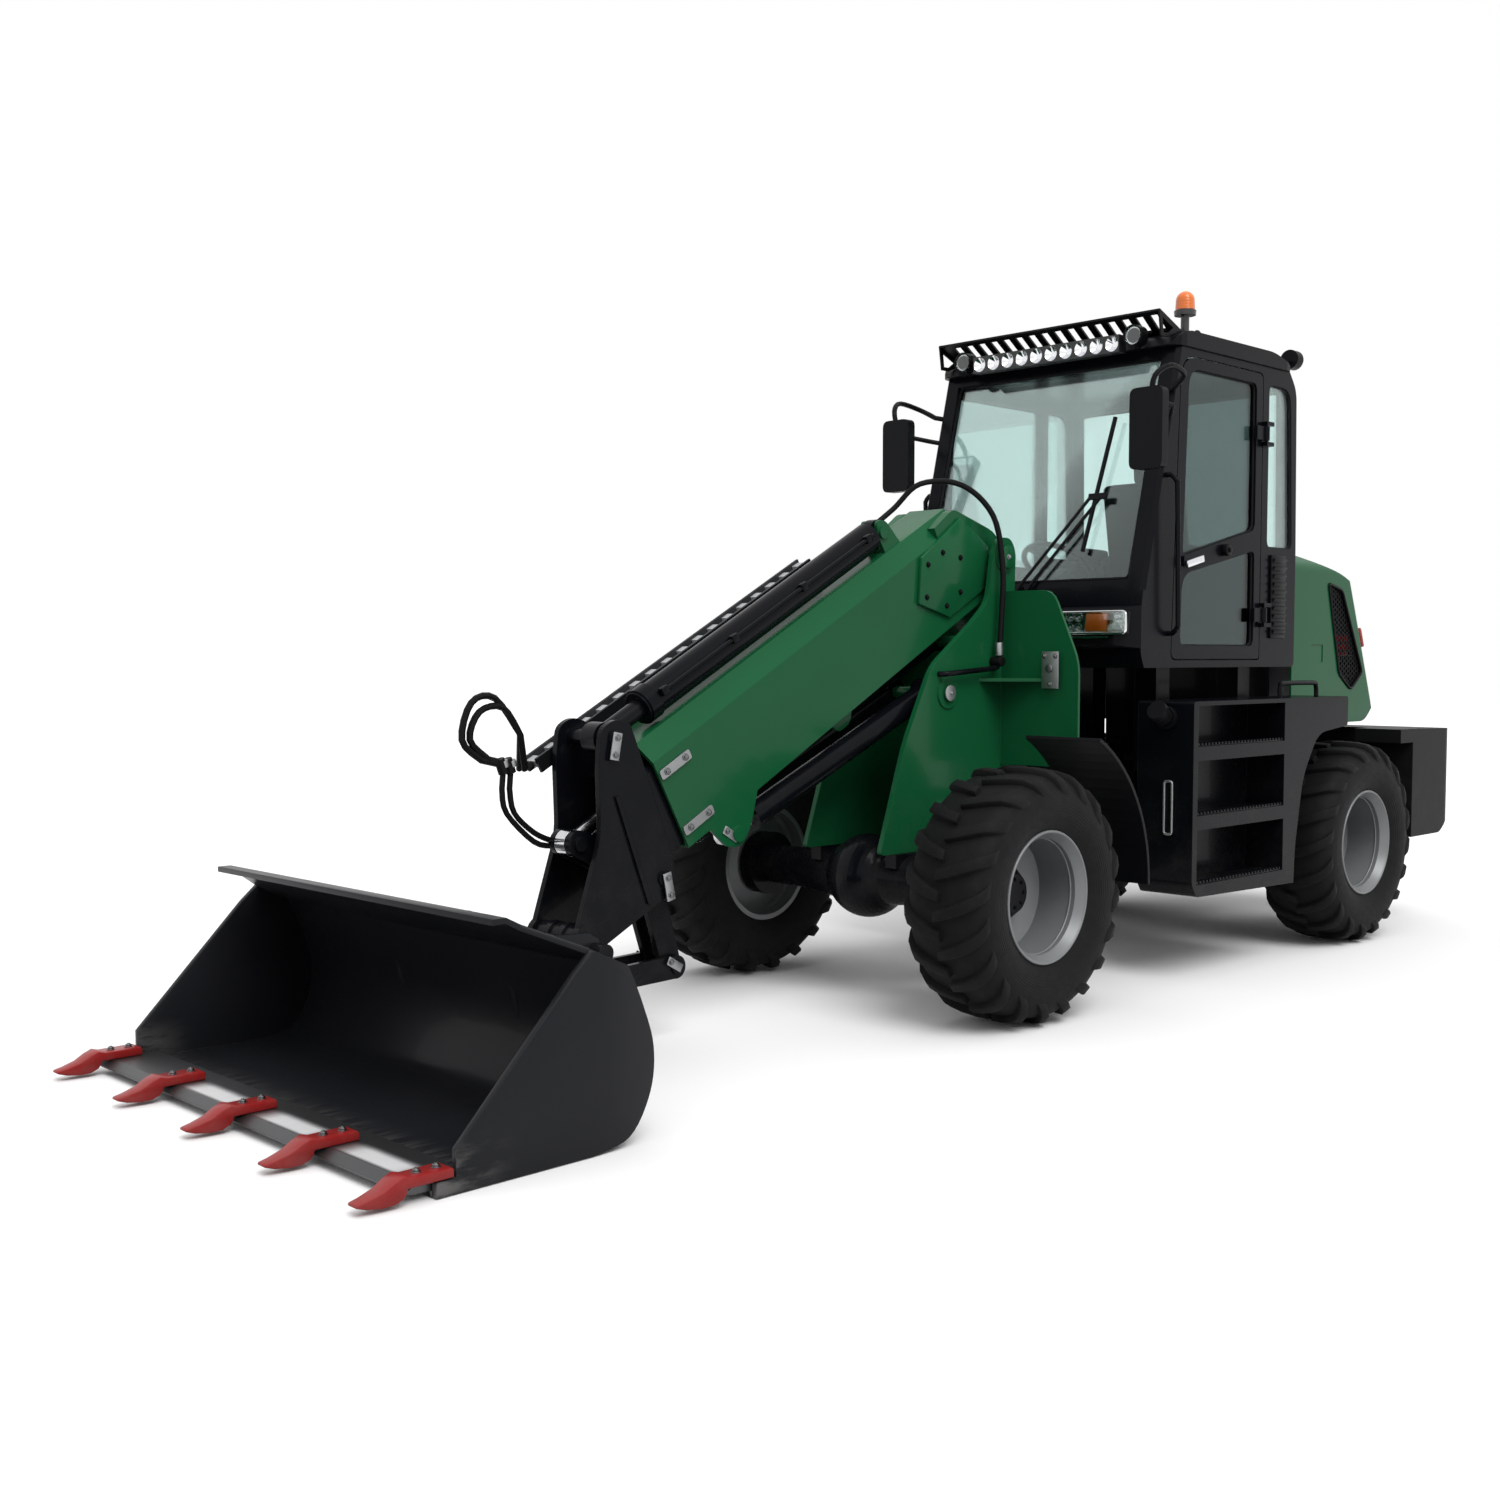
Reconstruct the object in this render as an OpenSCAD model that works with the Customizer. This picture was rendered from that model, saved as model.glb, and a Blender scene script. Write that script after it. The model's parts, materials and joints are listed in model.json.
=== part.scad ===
// Articulated compact wheel loader with a telescopic boom.
// Millimetres, X forward, Y left, Z up, ground at Z = 0.
// Side dimensions are measured from the front axle, then shifted to the middle.

/* [Wheels] */
// Distance between the two axles
wheelbase = 2820; // [2740:10:2900]
// Radius of a tyre out to the tips of its lugs
tyre_r = 525; // [490:1:545]
// Width of a tyre
tyre_w = 400; // [360:5:420]
// Height of a tread lug
lug_h = 32; // [20:1:40]
// Tread lugs along each side of a tyre
lug_count = 20; // [14:1:24]
// Distance between the tyre middles on one axle
track = 1590; // [1560:5:1620]
// Radius of the rim flange
rim_r = 272; // [255:1:285]
// Thickness of the rim plate
rim_t = 12; // [8:1:16]
// Radius of the wheel hub
hub_r = 118; // [100:1:135]

/* [Front frame] */
// Distance from the front axle back to the steering hinge
hinge_back = 1420; // [1390:5:1450]
// Inner face of the tower plates from the middle
tower_in = 205; // [198:1:225]
// Thickness of the tower plates
tower_t = 25; // [15:1:35]
// Boom pivot behind the front axle
pivot_back = 669; // [655:1:685]
// Boom pivot above the ground
pivot_z = 1947; // [1930:1:1965]
// Lift cylinder base pin behind the front axle
lift_back = 255; // [245:1:265]
// Lift cylinder base pin above the ground
lift_z = 1332; // [1320:1:1345]
// Half width of the bulkhead behind the boom
bulkhead_half = 650; // [580:5:665]
// Thickness of the bulkhead
sheet_t = 15; // [8:1:20]

/* [Boom] */
// Fall of the parked boom below level, in degrees
boom_dip = 28.5; // [28:0.1:29]
// Width of the outer boom
boom_w = 320; // [308:2:332]
// Height of the outer boom above its axis line
boom_up = 320; // [305:1:330]
// Depth of the outer boom below its axis line
boom_down = 140; // [130:1:150]
// Length of the outer boom from its pivot
boom_len = 2230; // [2150:5:2260]
// Wall of the boom boxes
boom_wall = 12; // [8:1:14]
// Gap between the two boom boxes
slide_gap = 10; // [7:0.5:12]
// Thickness of the boom head plates
head_t = 25; // [18:1:27]
// Rungs of the hose carrier
rung_count = 18; // [10:1:24]

/* [Cylinders] */
// Radius of the lift cylinder barrels
lift_r = 52; // [45:1:54]
// Radius of the lift cylinder rods
lift_rod_r = 30; // [24:1:34]
// Radius of the levelling cylinder barrel
level_r = 36; // [30:1:38]
// Radius of the extension cylinder barrel
ext_r = 66; // [56:1:70]
// Radius of the tilt cylinder barrel
tilt_r = 50; // [44:1:52]
// Radius of the pins
pin_r = 28; // [24:1:31]
// Radius of the hydraulic hoses
hose_r = 13; // [9:0.5:15]
// Play of a rod or eye on what it turns or slides on
fit = 0.5; // [0.3:0.1:0.9]
// Joint left around glass, lamps and bolted plates
seal = 0.3; // [0.2:0.1:0.6]

/* [Bucket] */
// Full width of the bucket
bucket_w = 2060; // [1960:10:2120]
// Thickness of the bucket sides
bucket_side = 25; // [16:1:30]
// Thickness of the bucket shell
bucket_t = 20; // [14:1:24]
// Reach of the tooth tips ahead of the coupler's pin
tooth_reach = 1490; // [1450:5:1530]
// Width of a tooth
tooth_w = 80; // [60:1:100]
// Teeth along the edge
tooth_count = 5; // [3:1:7]

/* [Cab] */
// Half width of the cab
cab_half = 690; // [675:5:705]
// Thickness of the cab posts and panels
cab_t = 45; // [40:1:55]
// Height of the cab roof
roof_z = 3012; // [2980:1:3050]
// Thickness of the roof
roof_t = 75; // [60:1:90]
// Thickness of the glass
glass_t = 6; // [4:1:9]
// Gap around the door
panel_gap = 6; // [5:0.5:9]
// Reflectors in the light bar
lamp_count = 10; // [6:1:12]

/* [Rear body] */
// Reach of the counterweight behind the front axle
counter_back = 4000; // [3960:5:4050]
// Half width of the counterweight
counter_half = 900; // [860:5:950]
// Radius of the tow pin's hole
tow_r = 26; // [20:1:30]
// Half width of the hood
hood_half = 620; // [600:5:640]
// Wall of the hood
hood_t = 10; // [6:1:14]
// Distance between the slats of the hood's grilles
slat_pitch = 46; // [36:1:60]
// Height of a slat
slat_t = 14; // [8:1:20]
// Outer faces of the step boxes from the middle
step_out = 930; // [900:5:960]
// Inner faces of the step boxes from the middle
step_in = 640; // [620:5:660]

/* [Hidden] */
$fn = 48;
axle_z = tyre_r;
axle_top = axle_z + 120;
saddle_z = axle_z + 192;
lug_reach = 70;
spindle_r = 60;
hub_face = track / 2 - tyre_w / 2 + 78;
hx = -hinge_back;
px = -pivot_back;
rear_x = -wheelbase;
tower_out = tower_in + tower_t;
boss_r = pin_r + 45;
// Boom boxes and what runs along them
inner_half = boom_w / 2 - boom_wall - slide_gap;
inner_up = boom_up - boom_wall - 82;
inner_down = boom_down - boom_wall - slide_gap;
head_out = inner_half + 2;
head_in = head_out - head_t;
ext_h = boom_up + 18 + ext_r;
ext_y = 45;
ext_from = 571;
carrier_h = boom_up + 18;
lift_eye = 34;
lift_y = boom_w / 2 - boom_wall - lift_eye - 9;
// Places of the pins along the boom
pt_ear = on_boom(1984, -95 - boom_down);
pt_tab = on_boom(1152, -55 - boom_down);
pt_k = on_boom(1454, 118);
pt_t = on_boom(2330, ext_h);
// Pins of the tilt linkage, set out from the head's top pin
pt_m = pt_t + [-236, -540];
pt_a = pt_t + [106, -388];
pt_b = pt_t + [-349, -902];
pt_c = pt_t + [139, -734];
pt_h = pt_t + [142, -916];
pt_lift = [-lift_back, lift_z];
pt_level = [-450, 1560];
lift_len = gap(pt_lift, pt_ear);
level_len = gap(pt_level, pt_tab);
tilt_len = gap(pt_k, pt_a);
// Layers of the tilt linkage from the middle outwards
eye_half = 28;
bell_in = 33;
bell_out = 58;
link_in = 64;
link_out = 86;
// Bucket
half = bucket_w / 2;
bar_at = [140, 6];
bar_r = 34;
// Cab
cab_floor = 1440;
cab_rear = -2525;
roof_front = -1330;
cab_top = roof_z - roof_t;
pane_top = cab_top - 87;
door_rear = -2165;
door_front = -1390;
door_low = 1475;
door_high = cab_top - 37;
door_lean = 58;
door_hx = door_rear - 3;
door_hy = cab_half + 18;
// Hood
hood_hx = -2652;
hood_hz = 2000;
shift_x = (counter_back - pt_c[0] - tooth_reach) / 2;

// Which piece to draw

// Directions and outlines

function unit(v) = v / norm(v);
function gap(p, q) = norm([q[0] - p[0], q[1] - p[1]]);
function backwards(p) = [for (i = [len(p) - 1 : -1 : 0]) p[i]];

// A side point from its distance along the boom and its height square to it
function on_boom(s, h) = [
  px + s * cos(boom_dip) + h * sin(boom_dip),
  pivot_z - s * sin(boom_dip) + h * cos(boom_dip)];

// An outline with its corners rounded, by one length or by one for each corner
function soft(pts, r, n = 4) = [
  for (i = [0 : len(pts) - 1])
    let (k = len(pts), p = pts[i], a = pts[(i + k - 1) % k] - p, b = pts[(i + 1) % k] - p,
      c = min(is_list(r) ? r[i] : r, 0.48 * norm(a), 0.48 * norm(b)), u = p + c * unit(a), v = p + c * unit(b))
      each c == 0 ? [p] : [for (j = [0 : n])
        let (t = j / n) (1 - t) * (1 - t) * u + 2 * t * (1 - t) * p + t * t * v]];

// Points of a round arc
function arc(c, r, a0, a1, n) = [
  for (i = [0 : n])
    let (a = a0 + (a1 - a0) * i / n) c + r * [cos(a), sin(a)]];

// A smooth curve through points
function curve(p, n) = concat([
  for (i = [0 : len(p) - 2], j = [0 : n - 1])
    let (a = p[max(i - 1, 0)], b = p[i], c = p[i + 1], d = p[min(i + 2, len(p) - 1)], t = j / n)
      0.5 * (2 * b + (c - a) * t + (2 * a - 5 * b + 4 * c - d) * t * t
        + (3 * b - a - 3 * c + d) * t * t * t)], [p[len(p) - 1]]);

// A side curve moved sideways by a thickness
function beside(p, t) = [
  for (i = [0 : len(p) - 1])
    let (d = unit(p[min(i + 1, len(p) - 1)] - p[max(i - 1, 0)])) p[i] + t * [-d[1], d[0]]];

// Shapes that repeat

// A plate with a side outline, between two side faces
module plate(pts, y0, y1)
  translate([0, y1, 0])
    rotate([90, 0, 0])
      linear_extrude(y1 - y0)
        polygon(pts);

// The same piece on the left and on the right
module both() {
  children();
  mirror([0, 1, 0])
    children();
}

// A round bar across the machine
module pin(p, r, y0, y1)
  translate([p[0], y1, p[1]])
    rotate([90, 0, 0])
      cylinder(r = r, h = y1 - y0);

// A round bar from one side point towards another, between two distances
module rod(p, q, r, from, to, y = 0)
  translate([p[0], y, p[1]])
    rotate([0, 90 - atan2(q[1] - p[1], q[0] - p[0]), 0])
      translate([0, 0, from])
        cylinder(r = r, h = to - from);

// A straight bar between two round ends, its edges just inside them
module bar(p, q, rp, rq, y0, y1) {
  a = atan2(q[1] - p[1], q[0] - p[0]);
  u = [sin(a), -cos(a)];
  plate([p + (rp - 1) * u, q + (rq - 1) * u, q - (rq - 1) * u, p - (rp - 1) * u], y0, y1);
  pin(p, rp, y0, y1);
  pin(q, rq, y0, y1);
}

// A hose or bent tube along points, with rings square to its run
module hose(p, r, side, n = 8) {
  k = len(p);
  rings = [
    for (i = [0 : k - 1])
      let (t = unit(p[min(i + 1, k - 1)] - p[max(i - 1, 0)]), u = unit(cross(side, t)), v = cross(t, u))
        for (j = [0 : n - 1]) p[i] + r * (cos(360 * j / n) * u + sin(360 * j / n) * v)];
  walls = [
    for (i = [0 : k - 2], j = [0 : n - 1])
      let (a = i * n + j, b = i * n + (j + 1) % n, c = b + n, d = a + n)
        each [[a, d, c], [a, c, b]]];
  polyhedron(rings, concat([[for (j = [0 : n - 1]) j]], walls,
    [[for (j = [n - 1 : -1 : 0]) (k - 1) * n + j]]));
}

// Boom directions: along the boom and square to it
module boom_frame()
  translate([px, 0, pivot_z])
    rotate([0, boom_dip, 0])
      children();

// Places measured from the coupler's pin
module bucket_frame()
  translate([pt_c[0], 0, pt_c[1]])
    children();

// A boom box with its upper corners cut
module boom_box(w, up, down, s0, s1, cw, ch)
  translate([s0, 0, 0])
    rotate([90, 0, 90])
      linear_extrude(s1 - s0)
        polygon([[-w, -down], [w, -down], [w, up - ch], [w - cw, up], [cw - w, up], [-w, up - ch]]);

// Wheels and axles

// One tyre with its lugs, about its own axle
module tyre() color([0.05, 0.05, 0.055]) {
  r = tyre_r - lug_h;
  w = tyre_w / 2;
  rotate([90, 0, 0])
    rotate_extrude($fn = 72)
      polygon([[rim_r + seal, -w + 40], [rim_r + 55, -w + 8], [r - 110, -w], [r - 45, -w + 12],
        [r, -w + 60], [r, w - 60], [r - 45, w - 12], [r - 110, w], [rim_r + 55, w - 8],
        [rim_r + seal, w - 40]]);
  for (i = [0 : lug_count - 1], side = [0, 1])
    rotate([0, (i + side / 2) * 360 / lug_count, 0])
      mirror([0, side, 0])
        translate([0, 0, r - 12])
          linear_extrude(sqrt(tyre_r * tyre_r - lug_reach * lug_reach) - r + 12)
            polygon([[-lug_reach, w - 6], [-15, w - 6], [52, -14], [8, -14]]);
}

// One rim with its dish and hub, outer side towards +Y
module rim() color([0.62, 0.63, 0.64]) {
  w = tyre_w / 2;
  rotate([-90, 0, 0])
    rotate_extrude($fn = 72)
      polygon([[rim_r - 2 * rim_t, -w + 45], [rim_r, -w + 45], [rim_r, w - 35],
        [rim_r - rim_t, w - 35], [rim_r - 3 * rim_t, w - 70], [rim_r - 3 * rim_t, -w + 150],
        [150, -w + 110], [90, -w + 110], [90, -w + 92], [150, -w + 92],
        [rim_r - 3 * rim_t, -w + 128], [rim_r - 2 * rim_t, -w + 110]]);
  rotate([-90, 0, 0])
    rotate_extrude($fn = 48)
      polygon([[0, -w + 130], [spindle_r + fit, -w + 130], [spindle_r + fit, -w + 84],
        [hub_r, -w + 84], [hub_r, -w + 150], [80, -w + 200], [0, -w + 200]]);
}

module wheel_at(x, side)
  translate([x, side * track / 2, axle_z])
    mirror([0, side < 0 ? 1 : 0, 0])
      children();

module tyre_fl() wheel_at(0, 1) tyre();
module tyre_fr() wheel_at(0, -1) tyre();
module tyre_rl() wheel_at(rear_x, 1) tyre();
module tyre_rr() wheel_at(rear_x, -1) tyre();
module rim_fl() wheel_at(0, 1) rim();
module rim_fr() wheel_at(0, -1) rim();
module rim_rl() wheel_at(rear_x, 1) rim();
module rim_rr() wheel_at(rear_x, -1) rim();

// Turned outline of one axle half: round case, taper, hub carrier and spindle
axle_half = concat(arc([0, 0], 185, 3, 45, 6), [[118, 150], [92, 380], [88, hub_face - 66], [146, hub_face - 70],
  [146, hub_face], [spindle_r, hub_face], [spindle_r, hub_face + 50], [0, hub_face + 50]]);

// An axle with its drive flange
module axle(x, nose)
  translate([x, 0, axle_z]) {
    rotate([-90, 0, 0])
      rotate_extrude($fn = 72)
        polygon(concat(axle_half, [for (p = backwards(axle_half)) [p[0], -p[1]]]));
    translate([0, 0, 40])
      rotate([0, nose * 90, 0])
        cylinder(r1 = 120, r2 = 70, h = 270);
  }

module front_axle() color([0.07, 0.07, 0.08])
  union() {
    axle(0, -1);
    both()
      translate([-110, 190, axle_z + 60])
        cube([220, 60, axle_top - axle_z - 60]);
  }

module rear_axle() color([0.07, 0.07, 0.08])
  union() {
    axle(rear_x, 1);
    translate([rear_x - 110, -130, axle_z + 60])
      cube([220, 260, saddle_z - axle_z - 60]);
  }

// Front chassis, boom tower, bulkhead and the inner half of the steering hinge
tower_side = [[190, axle_top], [22, 1128], [-150, 1452], [-420, 1640], [-545, 1740], [px + 84, pivot_z + 30],
  [px + 40, pivot_z + 88], [px - 40, pivot_z + 88], [px - 80, pivot_z + 30], [-735, 1500], [-760, 1000],
  [-1010, 880], [-1010, 430], [-260, 430], [-185, axle_top]];
bulkhead_x = -645;
module front_frame() color([0.04, 0.32, 0.13])
  difference() {
    union() {
      both() {
        plate(soft(tower_side, [30, 60, 60, 40, 60, 30, 30, 30, 30, 60, 60, 40, 40, 40, 40]),
          tower_in, tower_out);
        pin([px, pivot_z], boss_r, tower_in + 2, tower_out + 5);
        pin(pt_lift, boss_r - 4, tower_in + 2, tower_out + 7);
        plate([[-1040, 430], [-940, 430], [-940, 880], [-1040, 880]], -1, tower_out);
        // Gusset from the tower to the bulkhead
        translate([0, 0, 1380])
          linear_extrude(sheet_t)
            polygon([[bulkhead_x - 5, tower_out - 5], [-480, tower_out - 5], [bulkhead_x - 5, 520]]);
      }
      translate([bulkhead_x, 0, 0])
        rotate([90, 0, -90])
          linear_extrude(sheet_t)
            polygon(soft([[-bulkhead_half, 1000], [bulkhead_half, 1000], [bulkhead_half, 1470],
              [510, 1790], [-510, 1790], [-bulkhead_half, 1470]], [30, 30, 60, 60, 60, 60]));
      pin(pt_lift, pin_r, -tower_out - 14, tower_out + 14);
      pin(pt_level, pin_r, -tower_in - 1, tower_in + 1);
      translate([-700, -tower_in - 5, 1000])
        cube([60, 2 * tower_in + 10, 640]);
      for (z = [450, 780])
        translate([0, 0, z]) {
          translate([hx, -90, 0])
            cube([hinge_back - 1000, 180, 40]);
          translate([hx, 0, 0])
            cylinder(r = 92, h = 40);
        }
      translate([-760, -tower_in - 5, 430])
        cube([500, 2 * tower_in + 10, 30]);
    }
    pin([px, pivot_z], pin_r + 12 + fit, -400, 400);
    translate([hx, 0, 400])
      cylinder(r = 45 + fit, h = 500);
  }

// Curved guards behind the front tyres, on brackets from the tower
guard_r = tyre_r + 183;
guard_in = track / 2 - 185;
module front_fenders() color([0.06, 0.06, 0.065])
  both() {
    plate(concat(arc([0, axle_z], guard_r, 117, 181, 14), arc([0, axle_z], guard_r - 15, 181, 117, 14)),
      guard_in, guard_in + 375);
    translate([-560, tower_out, axle_z + 295])
      cube([30, guard_in + 5 - tower_out, 60]);
    plate([[-606, axle_z + 355], [-530, axle_z + 355], [-530, axle_z + 295], [-640, axle_z + 295]],
      guard_in - 20, guard_in + 5);
  }

// Boom and its cylinders

// Outer boom box with its ears, tabs and the bolted rear plates
module outer_boom() color([0.04, 0.38, 0.15])
  union() {
    boom_frame()
      difference() {
        union() {
          boom_box(boom_w / 2, boom_up, boom_down, 150, boom_len, 60, 80);
          both() {
            plate(soft([[1790, 20 - boom_down], [2110, 20 - boom_down], [2060, -110 - boom_down],
              [1984, -152 - boom_down], [1900, -100 - boom_down]], [0, 0, 30, 40, 40]),
              boom_w / 2 - boom_wall, boom_w / 2);
            plate(soft([[1020, 20 - boom_down], [1250, 20 - boom_down], [1195, -100 - boom_down],
              [1108, -100 - boom_down]], [0, 0, 30, 30]), 46, 58);
            plate([[250, 40], [300, -5], [420, -5], [470, 40], [470, 120], [420, 165],
              [300, 165], [250, 120]], boom_w / 2 - 1, boom_w / 2 + 16);
            plate(soft([[-75, -75], [320, 2 - boom_down], [320, 300], [160, boom_up], [-75, 90]],
              [70, 0, 0, 30, 60]), boom_w / 2 - 45, boom_w / 2);
          }
          for (y = [ext_y - 48, ext_y + 30])
            plate(soft([[480, boom_up - 20], [594, boom_up - 20], [606, ext_h], [580, ext_h + 64],
              [530, ext_h + 40]], [0, 0, 20, 30, 30]), y, y + 18);
        }
        translate([332, 0, 0])
          boom_box(boom_w / 2 - boom_wall, boom_up - boom_wall, boom_down - boom_wall, 0,
            boom_len, 60, 80);
        translate([-200, -(boom_w / 2 - 45), -400])
          cube([532, boom_w - 90, 590]);
      }
    pin([px, pivot_z], pin_r + 12, -tower_out - 10, tower_out + 10);
    pin(on_boom(ext_from, ext_h), pin_r, ext_y - 60, ext_y + 60);
    both()
      pin(pt_ear, pin_r + 4, boom_w / 2 - boom_wall, boom_w / 2 + 12);
  }

// Clips that hold the slide pads at the boom's mouth
module wear_pads() color([0.68, 0.69, 0.7])
  boom_frame()
    both()
      for (h = [70 - boom_down, boom_up - 140])
        plate(soft([[boom_len - 175, h - 20], [boom_len - 5, h - 20], [boom_len - 5, h + 20],
          [boom_len - 175, h + 20]], 12), boom_w / 2, boom_w / 2 + 9);

module extension_barrel() color([0.05, 0.05, 0.055])
  difference() {
    boom_frame()
      translate([ext_from, ext_y, ext_h]) {
        translate([46, 0, 0])
          rotate([0, 90, 0])
            cylinder(r = ext_r, h = 1494);
        translate([1470, 0, 0])
          rotate([0, 90, 0])
            cylinder(r = ext_r + 7, h = 60);
        rotate([90, 0, 0])
          cylinder(r = 58, h = 50, center = true);
      }
    boom_frame()
      translate([ext_from + 200, ext_y, ext_h])
        rotate([0, 90, 0])
          cylinder(r = 38 + fit, h = 2000);
    pin(on_boom(ext_from, ext_h), pin_r + fit, -200, 200);
  }

// Hose that arches from the boom's top to the tower, with its end fitting
arch_end = [-575, tower_out + 40, 1470];
module boom_hoses() color([0.04, 0.04, 0.045])
  union() {
    start = on_boom(500, boom_up + 60);
    hose(curve([[start[0], -70, start[1]], [start[0] - 150, -40, start[1] + 110], [-290, 40, 2265],
      [-460, 140, 2265], [-575, 230, 2130], [-600, 268, 1900], [-590, 272, 1680], arch_end], 5),
      hose_r, [0.5, -1, 0]);
    boom_frame()
      translate([500, -70, boom_up + seal])
        cylinder(r = 24, h = 72);
    translate([arch_end[0], tower_out + seal, arch_end[2]])
      rotate([-90, 0, 0])
        cylinder(r = 22, h = 62);
  }

// Inner boom box with the head plates at its end
head_side = [[-91, 10], [-71, 55], [0, 74], [64, 40], [79, -90], [69, -360], [178, -690], [186, -735],
  [178, -775], [119, -796], [-271, -600], [-296, -545], [-281, -450]];
module inner_boom() color([0.05, 0.05, 0.055])
  union() {
    boom_frame()
      difference() {
        boom_box(inner_half, inner_up, inner_down, 480, 2330, 20, 20);
        boom_box(inner_half - 10, inner_up - 10, inner_down - 10, 400, 2500, 20, 20);
      }
    both() {
      plate(soft([for (p = head_side) pt_t + p], [20, 20, 30, 30, 40, 60, 20, 15, 15, 30, 40, 30, 30]),
        head_in, head_out);
      // Long rib, and the keepers of the top and middle pins
      plate([for (p = [[-11, -210], [7, -215], [-151, -630], [-173, -625]]) pt_t + p],
        head_out - 1, head_out + 10);
      plate(soft([for (p = [[-23, 26], [21, 26], [41, -80], [-3, -80]]) pt_t + p], 10),
        head_out - 1, head_out + 12);
      plate(soft([for (p = [[-23, 28], [21, 22], [-3, -90], [-47, -84]]) pt_m + p], 10),
        head_out - 1, head_out + 12);
    }
    pin(pt_t, pin_r + 4, -head_out - 8, head_out + 8);
    pin(pt_m, pin_r, -head_out - 8, head_out + 8);
    pin(pt_c, pin_r, -head_out - 8, head_out + 8);
    pin(pt_k, pin_r, -inner_half, inner_half);
    both()
      pin(pt_c, boss_r - 12, head_in + 1, head_out + 5);
  }

module extension_rod() color([0.75, 0.76, 0.78])
  difference() {
    union() {
      boom_frame()
        translate([1100, ext_y, ext_h])
          rotate([0, 90, 0])
            cylinder(r = 38, h = 1195);
      translate([pt_t[0], ext_y, pt_t[1]])
        rotate([90, 0, 0])
          cylinder(r = 60, h = 80, center = true);
    }
    pin(pt_t, pin_r + 4 + fit, -200, 200);
  }

// Ladder that carries the hoses along the boom
module hose_carrier() color([0.05, 0.05, 0.055])
  boom_frame()
    union() {
      rung_pitch = 1649 / (rung_count - 1);
      for (y = [-head_out - 32, -head_out - 106])
        translate([790, y, carrier_h])
          cube([1700, 12, 60]);
      for (i = [0 : rung_count - 1])
        translate([800 + i * rung_pitch, -head_out - 106, carrier_h + 22])
          cube([40, 86, 26]);
      translate([2262, -head_out - 32, carrier_h - 8])
        cube([22, 32 - seal, 30]);
    }

// Hoses that loop over the head to their couplings, then down to a block on the head plate
module head_hoses() color([0.04, 0.04, 0.045]) {
  y = -head_in + 22;
  for (out = [0, 34]) {
    a = on_boom(2490 + seal, carrier_h + 36);
    b = on_boom(2530, carrier_h + 36);
    end = pt_t + [302 + out, -92];
    low = pt_t + [50 - out, -405];
    hose(concat([[a[0], -head_out - 92 + out, a[1]], [b[0], -head_out - 92 + out, b[1]]],
      curve([for (p = [[230, 14, -40], [324 + out, 117 + out, -18], [440 + out, 104 + out, 0],
        [482 + out, 5, 0], [400 + out, -70, 0]]) [pt_t[0] + p[0], y + p[2], pt_t[1] + p[1]]], 4),
      [[end[0], y, end[1]]]), hose_r, [0, -1, 0.1]);
    hose(concat([[end[0], y, end[1]]], curve([for (p = [[310 + out, -180], [290 + out, -270], [200, -350 - out],
      [110, -390 - out / 2]]) [pt_t[0] + p[0], y, pt_t[1] + p[1]]], 4), [[low[0], y, low[1]]]), hose_r - 2,
      [0, -1, 0.1]);
    translate([end[0], y, end[1] - 30])
      rotate([0, 20, 0])
        cylinder(r = hose_r + 6, h = 56);
  }
  translate([pt_t[0] + 5, -head_in + seal, pt_t[1] - 432])
    cube([60, 36, 54]);
}

// Lift cylinders, left and right
module lift_barrels() color([0.05, 0.05, 0.055])
  both()
    difference() {
      union() {
        rod(pt_lift, pt_ear, lift_r, 40, lift_len - 135, lift_y);
        rod(pt_lift, pt_ear, lift_r + 5, lift_len - 190, lift_len - 130, lift_y);
        pin(pt_lift, 62, lift_y - 40, lift_y + 40);
      }
      rod(pt_lift, pt_ear, lift_rod_r + fit, 150, lift_len, lift_y);
      pin(pt_lift, pin_r + fit, 0, 300);
    }

module lift_rods() color([0.75, 0.76, 0.78])
  both() {
    rod(pt_lift, pt_ear, lift_rod_r, 300, lift_len - 40, lift_y);
    pin(pt_ear, 52, lift_y - lift_eye, lift_y + lift_eye);
  }

module level_barrel() color([0.05, 0.05, 0.055])
  difference() {
    union() {
      rod(pt_level, pt_tab, level_r, 30, level_len - 100);
      pin(pt_level, 42, -30, 30);
    }
    rod(pt_level, pt_tab, 22 + fit, 100, level_len);
    pin(pt_level, pin_r + fit, -100, 100);
  }

module level_rod() color([0.75, 0.76, 0.78])
  union() {
    rod(pt_level, pt_tab, 22, 160, level_len - 30);
    pin(pt_tab, 36, -28, 28);
  }

module tilt_barrel() color([0.05, 0.05, 0.055])
  difference() {
    union() {
      rod(pt_k, pt_a, tilt_r, 40, tilt_len - 360);
      pin(pt_k, 46, -30, 30);
    }
    rod(pt_k, pt_a, 32 + fit, 120, tilt_len);
    pin(pt_k, pin_r + fit, -100, 100);
  }

module tilt_rod() color([0.75, 0.76, 0.78])
  union() {
    rod(pt_k, pt_a, 32, 300, tilt_len - 40);
    pin(pt_a, 50, -eye_half, eye_half);
  }

// Rocker between the tilt cylinder and the link
module bellcrank() color([0.05, 0.05, 0.055])
  difference() {
    union() {
      both() {
        bar(pt_m, pt_a, 55, 50, bell_in, bell_out);
        bar(pt_m, pt_b, 55, 48, bell_in, bell_out);
      }
      pin(pt_m, 46, -bell_out - 30, bell_out + 30);
      pin(pt_b, pin_r, -link_out - 8, link_out + 8);
      both()
        pin(pt_a, pin_r, bell_in, bell_out + 14);
    }
    pin(pt_m, pin_r + fit, -200, 200);
  }

module tilt_link() color([0.05, 0.05, 0.055])
  difference() {
    both()
      bar(pt_b, pt_h, 46, 44, link_in, link_out);
    pin(pt_b, pin_r + fit, -200, 200);
  }

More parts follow.
